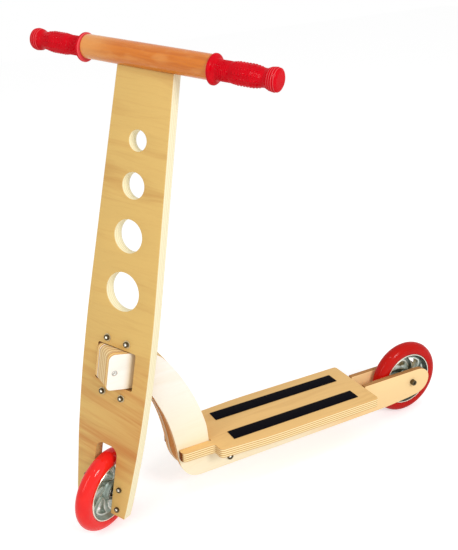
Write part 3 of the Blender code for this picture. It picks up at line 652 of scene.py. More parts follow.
@dataclass(frozen=True)
class BoardPlywood(Plywood):
    """The steering board's plywood, whose veneer is browner towards its foot, more so on its right."""

    brown: Colour = (200, 134, 70)
    window_ply: Colour = (150, 104, 54)
    slot_ply: Colour = (206, 186, 118)

    def tint(self, shader: Shader, u: Value, v: Value, veneer: Value, ply: Value) -> tuple[Value, Value]:
        """Browner faces below 290 mm, mostly in slanting bands, and darker plies in window and slot."""
        low = (1.0 - v.ramp(130.0, 290.0)) * (0.1 + v.ramp(20.0, 90.0) * 0.9)
        band = shader.noise(u / 260.0, (v + u * 0.16) / 15.0, 3.7, 3.0, 0.6).ramp(0.40, 0.64)
        within = 1.0 - abs(u).ramp(38.0, 40.0)
        ply = shader.mix(within * v.ramp(188.0, 191.0) * (1.0 - v.ramp(257.0, 260.0)), ply, self.window_ply)
        ply = shader.mix(within * (1.0 - v.ramp(90.0, 92.0)), ply, self.slot_ply)
        return shader.mix(low * (0.22 + u * 0.003 + band * 0.62), veneer, self.brown), ply


@dataclass(frozen=True)
class PlatePlywood(Plywood):
    """The side plates' plywood: near white at the nose, partly painted light, cream at the deck, orange in
    the rear arms.
    """

    cream: Colour = (255, 247, 224)
    warm: Colour = (254, 214, 150)
    # Painted shade with warm bounce light, for the cheeks beside the board's window
    painted_window_shade: Colour = (238, 200, 130)
    brown_ply: Colour = (168, 110, 62)

    def tint(self, shader: Shader, u: Value, v: Value, veneer: Value, ply: Value) -> tuple[Value, Value]:
        """Cream below 190 mm over the deck, orange to the rear, and painted shade, warmed by bounce light,
        where the nose passes the board.
        """
        low = 1.0 - v.ramp(0.0, 190.0)
        rear = u.ramp(-290.0, -120.0)
        lean = u - v * 0.187
        # Painted shade, warmed by light bounced off the board, where the nose passes the window
        window_shade_mask = lean.ramp(-622.0, -602.0) * (1.0 - lean.ramp(-588.0, -578.0)) * v.ramp(150.0, 160.0) * 0.9
        veneer = shader.mix(low, veneer, shader.mix(1.0, veneer, self.cream, "MULTIPLY"))
        veneer = shader.mix(rear * 0.85, veneer, self.warm)
        veneer = shader.mix(window_shade_mask, veneer, self.painted_window_shade)
        return veneer, shader.mix(rear * 0.85, ply, self.brown_ply)


@dataclass(frozen=True)
class CorePlywood(Plywood):
    """The core's plywood, darker and more orange in the neck's front edge than in the nose."""

    orange: Colour = (240, 196, 134)

    def tint(self, shader: Shader, u: Value, v: Value, veneer: Value, ply: Value) -> tuple[Value, Value]:
        """More orange as the height over the deck's level falls from 180 to 150 mm."""
        orange = shader.mix(1.0, ply, self.orange, "MULTIPLY")
        return veneer, shader.mix(1.0 - v.ramp(150.0, 180.0), ply, orange)


@dataclass(frozen=True)
class DeckPlywood(Plywood):
    """The deck's plywood, whose end grain is dark at the tips of the prongs and less so elsewhere."""

    end_tone: Colour = (134, 84, 24)

    def tint(self, shader: Shader, u: Value, v: Value, veneer: Value, ply: Value) -> tuple[Value, Value]:
        """Darker where the edge looks along the deck, in full ahead of s = -495, by a quarter behind -465."""
        ends = shader.facing(ALONG_DECK).ramp(0.55, 0.95) * (1.0 - u.ramp(-495.0, -465.0) * 0.75)
        return veneer, shader.mix(ends, ply, shader.mix(1.0, ply, self.end_tone, "MULTIPLY"))


@dataclass(frozen=True)
class Beech(Finish):
    """Varnished solid wood whose grain runs along the piece's own z, with one pale knot in its front."""

    base: Colour = (216, 130, 56)
    dark: Colour = (190, 100, 36)
    light: Colour = (236, 172, 104)

    def surface(self, shader: Shader) -> Value:
        """Long streaks, rays and growth rings about an axis outside the piece."""
        a, b, along = shader.grain()
        warp = shader.noise(along / 70.0, a / 18.0, b / 18.0, 2.0) - 0.5
        rings = shader.noise(along / 400.0, a / 5.0 + warp * 2.2, b / 9.0 + warp, 3.0, 0.6)
        patch = shader.noise(along / 30.0, a / 9.0, b / 9.0, 3.0)
        flecks = shader.noise(along / 3.5, a / 0.6, b / 0.6, 1.0)
        colour = shader.mix(rings.ramp(0.42, 0.66) * 0.40, self.base, self.dark)
        colour = shader.mix(patch.ramp(0.48, 0.74) * 0.26, colour, self.light)
        knot = ((along - 34.0) / 13.0) ** 2.0 + ((a + 3.0) / 7.0) ** 2.0 + (patch - 0.5) * 3.0
        colour = shader.mix((1.0 - knot.ramp(-0.4, 1.6)) * 0.34, colour, self.light)
        colour = shader.mix((1.0 - along.ramp(-104.0, -30.0)) * 0.55, colour, self.light)
        colour = shader.scaled(colour, 0.96 + flecks * 0.08)
        relief = shader.bump(flecks * 0.4 + rings * 0.6, 0.05)
        return shader.principled(colour, 0.34 + flecks * 0.10, relief, 0.02, 0.8, 0.22)


@dataclass(frozen=True)
class BlockBeech(Finish):
    """Solid wood on a CAD node, read from Object coordinates turned into the steering's axes."""

    base: Colour = (222, 180, 124)
    dark: Colour = (196, 146, 92)

    def surface(self, shader: Shader) -> Value:
        """Long streaks across the board's width and short dark flecks."""
        place = steering_axes()
        x, y, z = shader.split(shader.node("ShaderNodeMapping", {
            "Vector": shader.node("ShaderNodeTexCoord", output="Object"), "Scale": (MM, MM, MM),
            "Location": tuple(place.translation), "Rotation": tuple(place.to_euler()),
        }, vector_type="TEXTURE"))
        warp = shader.noise(x / 60.0, y / 20.0, z / 20.0) - 0.5
        rings = shader.noise(x / 300.0, y / 6.0 + warp, z / 4.0 + warp * 2.0, 3.0, 0.6)
        flecks = shader.noise(x / 4.0, y / 0.7, z / 0.7, 1.0)
        colour = shader.mix(rings.ramp(0.4, 0.7) * 0.8, self.base, self.dark)
        colour = shader.scaled(colour, 0.95 + flecks * 0.1)
        return shader.principled(colour, 0.42 + flecks * 0.12, shader.bump(flecks, 0.05))


@dataclass(frozen=True)
class Rubber(Finish):
    """Moulded soft rubber or cast urethane, with a fine mould texture and a tone that varies at random."""

    base: Colour = (225, 22, 42)
    deep: Colour = (180, 6, 28)
    roughness: float = 0.36
    coat: float = 0.1
    coat_roughness: float = 0.2
    texture: float = 0.03
    specular: float = 0.12

    def tint(self, shader: Shader, z: Value, colour: Value) -> Value:
        """Tones that go with the place along the piece's z, none here."""
        return colour

    def surface(self, shader: Shader) -> Value:
        """Slight unevenness of colour and gloss over a fine texture."""
        x, y, z = shader.grain()
        cloud = shader.noise(x / 22.0, y / 22.0, z / 22.0, 3.0)
        fine = shader.noise(x / 0.7, y / 0.7, z / 0.7, 2.0)
        colour = self.tint(shader, z, shader.mix(cloud.ramp(0.35, 0.75) * 0.5, self.base, self.deep))
        rough = self.roughness + (cloud - 0.5) * 0.12 + (fine - 0.5) * 0.06
        relief = shader.bump(fine, self.texture)
        return shader.principled(colour, rough, relief, self.specular, self.coat, self.coat_roughness)


@dataclass(frozen=True)
class GripRubber(Rubber):
    """The grips' rubber, with painted highlights: pale lines on the cap's ridges and the flange's rim."""

    # Colour of the painted glints on the ridges and the rim
    pale: Colour = (255, 120, 124)
    cap: tuple[float, float, float] = (194.8, 205.4, 3.3)
    flange: float = 108.3

    def tint(self, shader: Shader, z: Value, colour: Value) -> Value:
        """Painted highlights: pale lines on the cap's ridges, by a cosine of their pitch, and on the flange's
        rim.
        """
        first, last, pitch = self.cap
        crest = ((z - first) * (TURN / pitch)).cos().ramp(0.55, 1.0) * z.ramp(first - 1.6, first - 0.6)
        rim = 1.0 - abs(z - self.flange).ramp(0.3, 0.9)
        ridges = crest * (1.0 - z.ramp(last - 0.4, last + 0.2))
        return shader.mix(ridges * 0.55 + rim * 0.45, colour, self.pale)


@dataclass(frozen=True)
class Metal(Finish):
    """Machined or cast metal, with tool rings about its own z, light tarnish and an optional painted
    highlight at the centre.
    """

    base: Colour = (190, 190, 186)
    stain: Colour = (140, 138, 130)
    roughness: float = 0.28
    ring: float = 0.35
    metallic: float = 1.0
    # Colour of a painted highlight round the z axis, none by default
    centre: Colour | None = None
    highlight_radius: float = 2.3

    def surface(self, shader: Shader) -> Value:
        """Fine rings by the distance from z, over a soft tarnish."""
        x, y, z = shader.grain()
        radius = (x * x + y * y) ** 0.5
        tool = shader.noise(radius / self.ring, z / self.ring, 2.0, 2.0)
        tarnish = shader.noise(x / 6.0, y / 6.0, z / 6.0, 3.0)
        colour = shader.mix(tarnish.ramp(0.45, 0.8), self.base, self.stain)
        # Painted highlight in the middle, for the bright spot in a bolt's socket
        if self.centre:
            edge = self.highlight_radius
            colour = shader.mix(1.0 - radius.ramp(edge - 0.4, edge + 0.4), colour, self.centre)
        rough = self.roughness + (tool - 0.5) * 0.12 + (tarnish - 0.5) * 0.15
        return shader.principled(colour, rough, shader.bump(tool, 0.02), metallic=self.metallic)


@dataclass(frozen=True)
class GripTape(Finish):
    """Black anti-slip film with fine mineral grit."""

    base: Colour = (5, 3, 9)
    speck: Colour = (44, 42, 50)

    def surface(self, shader: Shader) -> Value:
        """Grit cells of about half a millimetre that stand up and catch the light."""
        x, y, z = shader.grain()
        cell = shader.node("ShaderNodeTexVoronoi", {"Vector": shader.vector(x, y, z), "Scale": 2.0})
        cloud = shader.noise(x / 14.0, y / 14.0, z, 2.0)
        colour = shader.mix((1.0 - cell.ramp(0.0, 0.45)) * 0.35 * cloud.ramp(0.3, 0.7), self.base, self.speck)
        return shader.principled(colour, 0.72 + cloud * 0.12, shader.bump(1.0 - cell, 0.12), 0.05)


class Look(Enum):
    """Every finish on the scooter."""

    BOARD = BoardPlywood(
        "board_plywood", "board_plywood", (225, 186, 110), (202, 152, 84), (255, 246, 208), (241, 228, 190),
        (224, 208, 172), thickness=18.0, plies=9, contrast=0.65, band=26.0)
    # Near-white plate faces: partly the pale veneer, partly painted light from the right
    PLATE = PlatePlywood(
        "frame_plywood", "frame_plywood", (255, 250, 240), (250, 240, 222), (255, 222, 152), (232, 176, 104),
        (160, 104, 50), thickness=10.0, plies=3, band=30.0, specular=0.03)
    CORE = CorePlywood(
        "core_plywood", "core_plywood", (216, 188, 142), (196, 156, 108), (246, 220, 166), (220, 180, 126),
        (176, 126, 76), thickness=30.8, plies=9, contrast=0.5, specular=0.03)
    DECK = DeckPlywood(
        "deck_plywood", "deck_plywood", (240, 196, 128), (220, 172, 106), (255, 236, 182), (220, 168, 104),
        (170, 118, 62), thickness=18.0, plies=9, contrast=0.5, band=22.0, specular=0.06)
    BAR = Beech("bar_beech", "bar_beech", (215, 121, 32), (182, 88, 20), (240, 174, 98))
    BLOCK = BlockBeech("block_beech", "block_beech")
    GRIP = GripRubber(
        "grip_rubber", "grip_rubber", (214, 4, 24), (178, 0, 16), coat=0.14, coat_roughness=0.1,
        specular=0.01)
    TYRE = Rubber(
        "tyre_red", "tyre_red", (246, 34, 28), (232, 20, 24), 0.4, 0.5, 0.08, texture=0.006, specular=0.01)
    SHADED_TYRE = Rubber(
        "shaded_tyre_red", "tyre_red", (194, 18, 8), (178, 10, 8), 0.4, 0.22, 0.1, texture=0.006,
        specular=0.02)
    HUB = Metal("cast_aluminium", "cast_aluminium", (168, 180, 172), (142, 156, 148), 0.50, 1.1, 0.8)
    SHADED_HUB = Metal("shaded_aluminium", "cast_aluminium", (118, 130, 124), (88, 98, 94), 0.40, 1.1)
    # Paler copy of the hub metal for the ridges: painted highlight
    RIDGE_HIGHLIGHT = Metal("hub_ridge_highlight", "cast_aluminium", (206, 212, 204), (180, 188, 180), 0.40)
    # Pale ring on the rim's lip: polished metal, brightened by a painted highlight
    LIP = Metal("rim_lip_highlight", "cast_aluminium", (234, 228, 212), (216, 210, 194), 0.22)
    # Dark bolts with a painted highlight in their sockets
    DARK = Metal("dark_steel", "dark_steel", (92, 82, 62), (60, 52, 36), 0.34, centre=(255, 250, 236))
    BRIGHT = Metal("bright_steel", "bright_steel", (208, 206, 200), (172, 168, 158), 0.24)
    WASHER = Metal("dull_steel", "bright_steel", (206, 186, 144), (188, 168, 126), 0.5, metallic=0.6)
    SEAL = Rubber("bearing_seal", "bright_steel", (44, 46, 46), (28, 28, 28), 0.5)
    TAPE = GripTape("grip_tape", "grip_tape")

    def material(self) -> bpy.types.Material:
        """The finish's material, made the first time that it is asked for."""
        return bpy.data.materials.get(self.value.label) or self.value.build()


def window(value: np.ndarray, low: float, high: float, soft: float) -> np.ndarray:
    """One between two levels and nothing outside them, with soft sides."""
    return np.clip((value - low) / soft + 0.5, 0, 1) * np.clip((high - value) / soft + 0.5, 0, 1)


def carve(piece: bpy.types.Object, tool: bpy.types.Mesh, own: Matrix) -> None:
    """Cuts a tool's shape out of a piece and works its grain coordinates out anew.

    Args:
        piece: The piece to cut.
        tool: Closed mesh in world metres.
        own: The piece's own axes in world metres, scaled so that their unit is a millimetre.
    """
    cutter = bpy.data.objects.new("cutter", tool)
    bpy.context.scene.collection.objects.link(cutter)
    cut = piece.modifiers.new("cut", "BOOLEAN")
    cut.operation = "DIFFERENCE"
    cut.solver = "EXACT"
    cut.object = cutter
    bpy.context.view_layer.update()
    depsgraph = bpy.context.evaluated_depsgraph_get()
    mesh = bpy.data.meshes.new_from_object(piece.evaluated_get(depsgraph))
    piece.modifiers.clear()
    piece.data = mesh
    mesh.set_sharp_from_angle(angle=SHARP)
    world = np.empty(3 * len(mesh.vertices), np.float32)
    mesh.vertices.foreach_get("co", world)
    back = np.array(own.inverted(), float)
    grain = mesh.attributes.get("grain") or mesh.attributes.new("grain", "FLOAT_VECTOR", "POINT")
    grain.data.foreach_set("vector", (world.reshape(-1, 3) @ back[:3, :3].T + back[:3, 3]).ravel())
    bpy.data.objects.remove(cutter, do_unlink=True)


# Assemblies

@dataclass
class Assembly:
    """Pieces that ride on one body, made in that assembly's axes.

    Args:
        body: The CAD body's name.
        axes: The axes' place in world metres.
    """

    body: str
    axes: Matrix

    def add(self, node: str, surface: Surface, look: Look, suffix: str = "detail",
            replaces: bool = True) -> bpy.types.Object:
        """Adds one piece that stands for a CAD node.

        Args:
            node: The CAD node's name.
            surface: Its surface in the assembly's millimetres.
            look: Its finish.
            suffix: What the piece's name adds to the node's name.
            replaces: Whether the node is hidden by this piece.

        Returns:
            The new object.
        """
        name = f"{node}.{suffix}"
        mesh = surface.mesh(name, self.axes)
        mesh.set_sharp_from_angle(angle=SHARP)
        mesh.materials.append(look.material())
        piece = bpy.data.objects.new(name, mesh)
        bpy.context.scene.collection.objects.link(piece)
        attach(piece, self.body)
        if replaces:
            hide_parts(node)
        log.info("%s: %d faces", name, len(mesh.polygons))
        return piece


@dataclass
class Fastener:
    """Bolts, nuts, washers and tubes about z, with the head above z = 0.

    Args:
        radius: Radius of the shank or bore.
        head: Radius of the head or outer side.
        height: Height of the head.
        length: Length of the shank below z = 0.
        columns: Points round each ring.
    """

    radius: float
    head: float
    height: float = 0.0
    length: float = 0.0
    columns: int = 48

    def _hexagon(self, across: float) -> np.ndarray:
        """Radius of a hexagon at each column, from a sixth of a turn either side of each corner."""
        angle = TURN * np.arange(self.columns) / self.columns
        return across / np.cos((angle + math.pi / 6) % (math.pi / 3) - math.pi / 6)

    def bolt(self, socket: float = 0.5, dome: float = 0.25) -> Surface:
        """A bolt with a hexagon socket.

        Args:
            socket: Half the width of the socket across its flats, as a share of the head's radius.
            dome: Height of the head's rounded shoulder as a share of its height.

        Returns:
            The bolt's surface.
        """
        key = self._hexagon(self.head * socket)
        deep = self.height * 0.35
        curve = self.height * dome
        t = np.linspace(0, math.pi / 2, 5)
        r, h = self.head, self.height
        shoulder = [(r - curve * (1 - math.sin(a)), h - curve * (1 - math.cos(a))) for a in t]
        return self._stack([
            (0.0, deep - 0.5), (key * 0.85, deep), (key, deep + 0.3), (key, h - 0.35), (key + 0.3, h),
            *shoulder, (r, 0.25), (r - 0.25, 0.0), (self.radius, 0.0), (self.radius, 0.4 - self.length),
            (self.radius - 0.4, -self.length), (0.0, -self.length)])

    def plug(self) -> Surface:
        """A plain round plug with a dimpled and ringed face."""
        r, h = self.head, self.height
        return self._stack([
            (0.0, h - 0.8), (r * 0.22, h - 0.5), (r * 0.34, h - 0.1), (r * 0.55, h), (r * 0.62, h - 0.4),
            (r * 0.74, h - 0.4), (r * 0.8, h), (r - 0.3, h), (r, h - 0.3), (r, 0.0), (self.radius, 0.0),
            (self.radius, -self.length), (0.0, -self.length)])

    def nut(self) -> Surface:
        """A hexagon nut between z = 0 and minus its height, its corners turned off at both ends."""
        flats = self._hexagon(self.head * math.cos(math.pi / 6))
        cone = np.minimum(flats, self.head * 0.90)
        h = self.height
        bore = self.radius + GAP
        return self._stack([(bore, -0.4), (bore + 0.4, 0.0), (cone, 0.0), (flats, -0.7), (flats, 0.7 - h),
                            (cone, -h), (bore + 0.4, -h), (bore, 0.4 - h)])

    def ring(self, low: float, high: float, edge: float = 0.25) -> Surface:
        """A ring between two heights with broken edges."""
        a, b = self.radius, self.head
        return self._stack([(a, high - edge), (a + edge, high), (b - edge, high), (b, high - edge),
                            (b, low + edge), (b - edge, low), (a + edge, low), (a, low + edge)])

    def pin(self, edge: float = 0.5) -> Surface:
        """A round pin between z = 0 and its height."""
        r, h = self.radius, self.height
        return self._stack([(0.0, h), (r - edge, h), (r, h - edge), (r, edge), (r - edge, 0.0), (0.0, 0.0)])

    def _stack(self, rows: list[tuple]) -> Surface:
        """The surface through rings of a radius and a height."""
        wide = np.ones(self.columns)
        return rings(np.array([r * wide for r, _ in rows]), np.array([h * wide for _, h in rows]))


@dataclass
class Wheel:
    """One scooter wheel: urethane tyre, cast hub with swept spokes, two bearings and their spacer.

    Args:
        prefix: Start of its nodes' names.
        assembly: Where it goes.
    """

    prefix: str
    assembly: Assembly
    radius: float = WHEEL_RADIUS
    tube: float = 14.0
    seat: float = 52.5
    half: float = HUB_HALF
    web: float = 4.5
    boss: float = 15.0
    spokes: int = 6
    spoke_width: float = 10.0
    sweep: float = 34.0
    columns: int = 144
    tyre_look: Look = Look.TYRE
    hub_look: Look = Look.HUB

    def build(self) -> None:
        """Adds the wheel's pieces."""
        self._tyre()
        self._hub()
        self._bearings()

    def _add(self, name: str, surface: Surface, look: Look, suffix: str = "detail",
             replaces: bool = True) -> None:
        """Adds one piece, its z laid along the axle."""
        self.assembly.add(f"{self.prefix}_{name}", surface.laid(Basis.RIGHT), look, suffix, replaces)

    def _tyre(self) -> None:
        """Round tread with a faint parting line, and a thin shoulder at each side by the rim."""
        a = np.radians(np.linspace(-84, 84, 57))
        seam = 0.12
        reach = self.tube + seam * np.exp(-(a / 0.018) ** 2) - seam
        tread = np.stack([self.radius - self.tube + reach * np.cos(a), reach * np.sin(a)], -1)
        shoulder = np.array([
            (57.6, 13.75), (56.2, 13.65), (54.6, 13.55), (53.4, 13.45), (52.8, 13.1), (self.seat, 12.6),
        ])
        half = np.concatenate([tread, shoulder])
        lower = shoulder[::-1] * (1, -1)
        self._add("tyre", turned(np.concatenate([lower, half]), self.columns), self.tyre_look)

    def _hub(self) -> None:
        """Rim, web with openings between swept spokes, and boss."""
        seat = self.seat - GAP
        lip, foot = seat - 2.2, seat - 7.0
        side = np.array([(foot - 1.5, self.web - 0.3), (foot, self.web), (foot + 1.2, self.web + 1.0),
                         (lip - 1.2, self.half - 2.8), (lip - 0.4, self.half - 1.0), (lip, self.half - 0.3)])
        outer = np.array([(seat - 0.6, self.half - 0.3), (seat, self.half - 0.9)])
        upper = np.concatenate([side, outer])
        rim = turned(np.concatenate([upper, upper[::-1] * (1, -1)]), self.columns)
        web = Slab(circle(0, 0, foot + 2.5, 144), 2 * self.web, 1.5,
                   [circle(0, 0, self.boss - 2.0, 96), *(self._opening(i) for i in range(self.spokes))], 5)
        boss_side = rounded([
            (self.boss + 5.0, self.web - 1.2, 0), (self.boss + 2.6, self.web + 0.2, 1.2),
            (self.boss + 1.2, self.web + 3.0, 1.5), (self.boss, self.half, 0.9), (11.35, self.half, 0.4),
            (11.35, self.half - 2.0, 0),
        ], 15.0, False)
        boss = turned(np.concatenate([boss_side, boss_side[::-1] * (1, -1)]), 96)
        self._add("hub", joined([rim, web.surface(), boss]), self.hub_look)
        ridges = [Slab(self._opening(i, -0.5), 2 * self.web + 4.4, 0.25, [self._opening(i, 2.0)], 2).surface()
                  for i in range(self.spokes)]
        # The ridges take a paler copy of the hub metal: painted highlight
        self._add("hub", joined(ridges), Look.RIDGE_HIGHLIGHT, "ridges", False)
        high, low, bright = self.half - 0.45, self.half - 1.4, seat - 0.4
        near = turned(np.array([
            (lip, high), (lip + 0.25, high + 0.35), (lip + 1.0, high + 0.45), (seat - 0.7, high + 0.35),
            (bright, high), (bright, low), (lip, low),
        ]), self.columns)
        far = near.moved(Matrix.Scale(-1, 4, (0, 0, 1)))
        # The lip rings take a cream-white metal: painted highlight on the polished lip
        self._add("hub", joined([near, far]), Look.LIP, "lip", False)

    def _opening(self, number: int, inset: float = 0.0) -> np.ndarray:
        """One opening between two spokes, its line moved inward by the inset.

        A point of radius r and share q lies at the angle start + sweep (r - a) / (b - a) + w + (p - 2 w) q,
        with w half the spoke's width as an angle at that radius and p the pitch. The corners are rounded.
        """
        a, b = self.boss + 3.5 + inset, self.seat - 9.2 - inset
        pitch = TURN / self.spokes
        t = np.linspace(0, math.pi / 2, 7)
        turn, back = 1 - np.stack([np.cos(t), np.sin(t)]), 1 - np.stack([np.sin(t), np.cos(t)])
        inner, outer, height = 0.20, 0.085, 4.0 / (b - a)
        across, one = np.linspace(0.25, 0.75, 9), np.ones(9)
        along = np.linspace(height + 0.02, 0.98 - height, 9)
        share = np.concatenate([
            turn[0] * inner, across, 1 - back[0] * inner, one, 1 - turn[0] * outer, across[::-1],
            back[0] * outer, 0 * one])
        level = np.concatenate([
            turn[1] * height, 0 * one, back[1] * height, along, 1 - turn[1] * height, one,
            1 - back[1] * height, along[::-1]])
        radius = a + (b - a) * level
        web = (self.spoke_width / 2 + inset) / radius
        sweep = math.radians(self.sweep) * level
        angle = pitch * (number + 0.5) + sweep + web + (pitch - 2 * web) * share
        return np.stack([radius * np.cos(angle), radius * np.sin(angle)], -1)

    def _bearings(self) -> None:
        """Two sealed ball bearings: races with broken edges and a dished seal between them."""
        deep = self.half - 7.0
        for name, low, high in (("bearing_left", -self.half, -deep), ("bearing_right", deep, self.half)):
            races = [Fastener(9.4, 11.0).ring(low, high), Fastener(PINHOLE, 6.0).ring(low, high)]
            self._add(name, joined(races), Look.BRIGHT)
            seal = Fastener(6.05, 9.35).ring(low + 0.4, high - 0.4, 0.5)
            self._add(name, seal, Look.SEAL, "seal", False)
        self._add("bearing_spacer", Fastener(PINHOLE, SLEEVE).ring(-6.0, 6.0), Look.BRIGHT)


@dataclass
class Frame(Assembly):
    """Two side plates on a core, the deck, its strips and the bolts through them."""

    plate: float = 10.0
    plate_inner: float = 15.7
    core_half: float = 15.4
    deck_top: float = 22.2
    deck_thick: float = 18.0
    frame_top: float = 3.9
    neck_rear: float = -445.4
    deck_rear: float = -116.2
    nose_front: float = 27.0
    nose_bolt: tuple[float, float] = (15.9, 223.0)
    nose_bottom: float = 194.6
    nose_top: float = 254.0
    nose_bend: float = -27.0
    arm_top: float = 23.3
    bolt_place: tuple[float, float] = (-406.0, -24.5)
    strip_sides: tuple[float, float] = (20.9, 45.8)
    strip_ends: tuple[float, float] = (-407.0, -147.0)
    prong_tip: float = -501.5
    prong_root: float = -441.5
    relief: float = 2.3
    half_width: float = 67.5

    @property
    def outer(self) -> float:
        """Distance of the plates' outer faces from the middle."""
        return self.plate_inner + self.plate

    def nose_point(self, q: float, v: float) -> tuple[float, float]:
        """Frame (s, n) of a point q ahead of the steering axis and v up it."""
        y = -(TRAIL + q) * math.cos(RAKE) + v * math.sin(RAKE) - WHEELBASE
        z = -FRONT_DROP + (TRAIL + q) * math.sin(RAKE) + v * math.cos(RAKE)
        return (y * math.cos(PITCH) - z * math.sin(PITCH), y * math.sin(PITCH) + z * math.cos(PITCH))

    def _outline(self, back: float, k: float, fork: bool) -> np.ndarray:
        """Side outline, its nose set back and its front edge set back by k, with the arms for a fork."""
        point = self.nose_point
        rear = [(self.neck_rear, self.deck_top + 2.0), (-448.4, 52.7), (-455.4, 78.8), (-464.0, 104.0),
                (-474.6, 129.0), (-487.4, 154.0), (-501.0, 176.6), (-514.6, 195.4), point(-52.4, 247.0),
                point(-40.0, 251.6), point(self.nose_bend, self.nose_top)]
        nose = rounded([
            (*rear[-1], 0), (*point(self.nose_front - back, self.nose_top), 10.0),
            (*point(self.nose_front - back, self.nose_bottom), 7.0),
            (*point(self.nose_bend, self.nose_bottom), 0),
        ], 6.0)
        front = [tuple(nose[-1]), point(-35.0 - k, 190.6 + k / 2), point(-51.0 - k, 177.3 + k / 2),
                 (-532.6 + k, 120.0), (-522.0 + k, 94.5), (-513.6 + k, 67.5), (-507.4 + k, 40.0),
                 (-504.2 + k, 20.0), (-502.3 + k, 4.0), (-498.3 + k, -12.0),
                 (-491.0 + k * 0.7, -26.0 + k * 0.5), (-480.8, -35.8 + k * 0.7), (-468.0, -40.4 + k * 0.4),
                 (-455.0, -41.0)]
        line = [[(self.neck_rear, self.frame_top)], smooth(rear), nose[1:-1], smooth(front)]
        if fork:
            end = [(-62.0, -38.3), (-35.0, -36.2), (0.0, -33.2), (20.0, -29.6), (32.5, -22.8), (39.6, -13.0),
                   (42.0, -2.0), (39.8, 8.6), (32.5, 17.2), (22.0, 22.2), (10.0, self.arm_top)]
            step = self.deck_rear + 1.2
            line += [smooth(end), [(step, self.arm_top), (step, self.frame_top)]]
        else:
            stop = self.deck_rear - 2.0
            line += [[(stop, -38.7), (stop, self.frame_top)]]
        return np.concatenate([np.array(part, float) for part in line])

    def build(self) -> None:
        """Adds every piece of the frame."""
        self._plates()
        self._deck()
        self._bolts()

    def _plates(self) -> None:
        """Two plates with the holes for the plug, and the core with its bore for the pivot pin."""
        s, n = self.nose_point(*self.nose_bolt)
        middle = self.plate_inner + self.plate / 2
        outline = self._outline(0.0, 0.0, True)
        for side, name in ((-1, "side_plate_left"), (1, "side_plate_right")):
            plate = Slab(outline, self.plate, 0.5, [circle(s, n, 4.5, 32)]).surface()
            self.add(name, plate.laid(Basis.SIDE, side * middle), Look.PLATE)
        core = Slab(self._outline(0.4, 2.5, False), 2 * self.core_half, 0.4).surface()
        piece = self.add("frame_core", core.laid(Basis.SIDE), Look.CORE)
        bore = Fastener(PINHOLE, PINHOLE, 90.0).pin().moved(shift(0, 0, 180.0))
        own = self.axes @ Matrix.Scale(MM, 4) @ Basis.SIDE.matrix()
        carve(piece, bore.mesh("bore_tool", steering_axes()), own)

    def _deck(self) -> None:
        """The deck with its two prongs and the relieved corners between them, and its strips."""
        inner = self.outer + GAP
        end = self.neck_rear + 0.8 + GAP
        turn = np.linspace(math.pi, -math.pi / 2, 19)
        relief = [(inner + self.relief * math.cos(a), end + self.relief * math.sin(a), 0) for a in turn]
        right = rounded([
            (0.0, end, 0), *relief, (inner, self.prong_tip, 1.5), (40.0, self.prong_tip, 8.0),
            (41.0, self.prong_root, 4.5), (61.5, self.prong_root, 9.0), (61.9, -428.0, 0), (64.6, -388.0, 0),
            (66.6, -358.0, 0), (self.half_width, -325.0, 0), (self.half_width, self.deck_rear, 6.0),
            (0.0, self.deck_rear, 0),
        ])[1:-1]
        outline = np.concatenate([right, right[::-1] * (-1, 1)])
        deck = Slab(outline, self.deck_thick, 1.1).surface()
        deck.grain = deck.grain[:, [1, 0, 2]]
        self.add("deck", deck.moved(shift(0, 0, self.deck_top - self.deck_thick / 2)), Look.DECK)
        (near, far), (front, rear) = self.strip_sides, self.strip_ends
        for side, name in ((-1, "grip_strip_left"), (1, "grip_strip_right")):
            corners = ((near, front), (far, front), (far, rear), (near, rear))
            strip = Slab(rounded([(side * x, s, 0.6) for x, s in corners]), 1.0, 0.3, steps=2).surface()
            self.add(name, strip.moved(shift(0, 0, self.deck_top + GAP + 0.5)), Look.TAPE)

    def _bolts(self) -> None:
        """The cross bolt, the plug in the nose and the rear axle, with their nuts, cap and spacers."""
        out = self.outer + GAP
        through = 2 * out
        seat = self.outer - 3.0 + GAP
        plug = self.nose_point(*self.nose_bolt)
        tube = Fastener(PINHOLE, SLEEVE).ring(HUB_HALF + GAP, self.plate_inner - GAP)
        cross = Fastener(BOLT, 5.5, 3.2, through + 4.6)
        axle = Fastener(AXLE, 5.5, 8.0, through + 5.4 + GAP)
        bright, dark = Look.BRIGHT, Look.DARK
        right, left = Basis.RIGHT, Basis.LEFT
        for name, surface, look, *place in (
            ("frame_bolt", cross.bolt(), dark, right, out, *self.bolt_place),
            ("frame_nut", Fastener(BOLT, 5.6, 4.6).nut(), bright, right, -out, *self.bolt_place),
            ("nose_bolt", Fastener(BOLT, 4.2, 2.4, 2 * seat - GAP).plug(), bright, right, seat, *plug),
            ("nose_bolt_cap", Fastener(BOLT, 4.2, 2.4, 0.05).plug(), bright, left, -seat, *plug),
            ("rear_axle", axle.bolt(0.45, 0.2), dark, right, out),
            ("rear_axle_nut", Fastener(AXLE, 7.2, 5.4).nut(), bright, right, -out),
            ("rear_spacer_right", tube, bright, right),
            ("rear_spacer_left", tube, bright, left),
        ):
            self.add(name, surface.laid(*place), look)


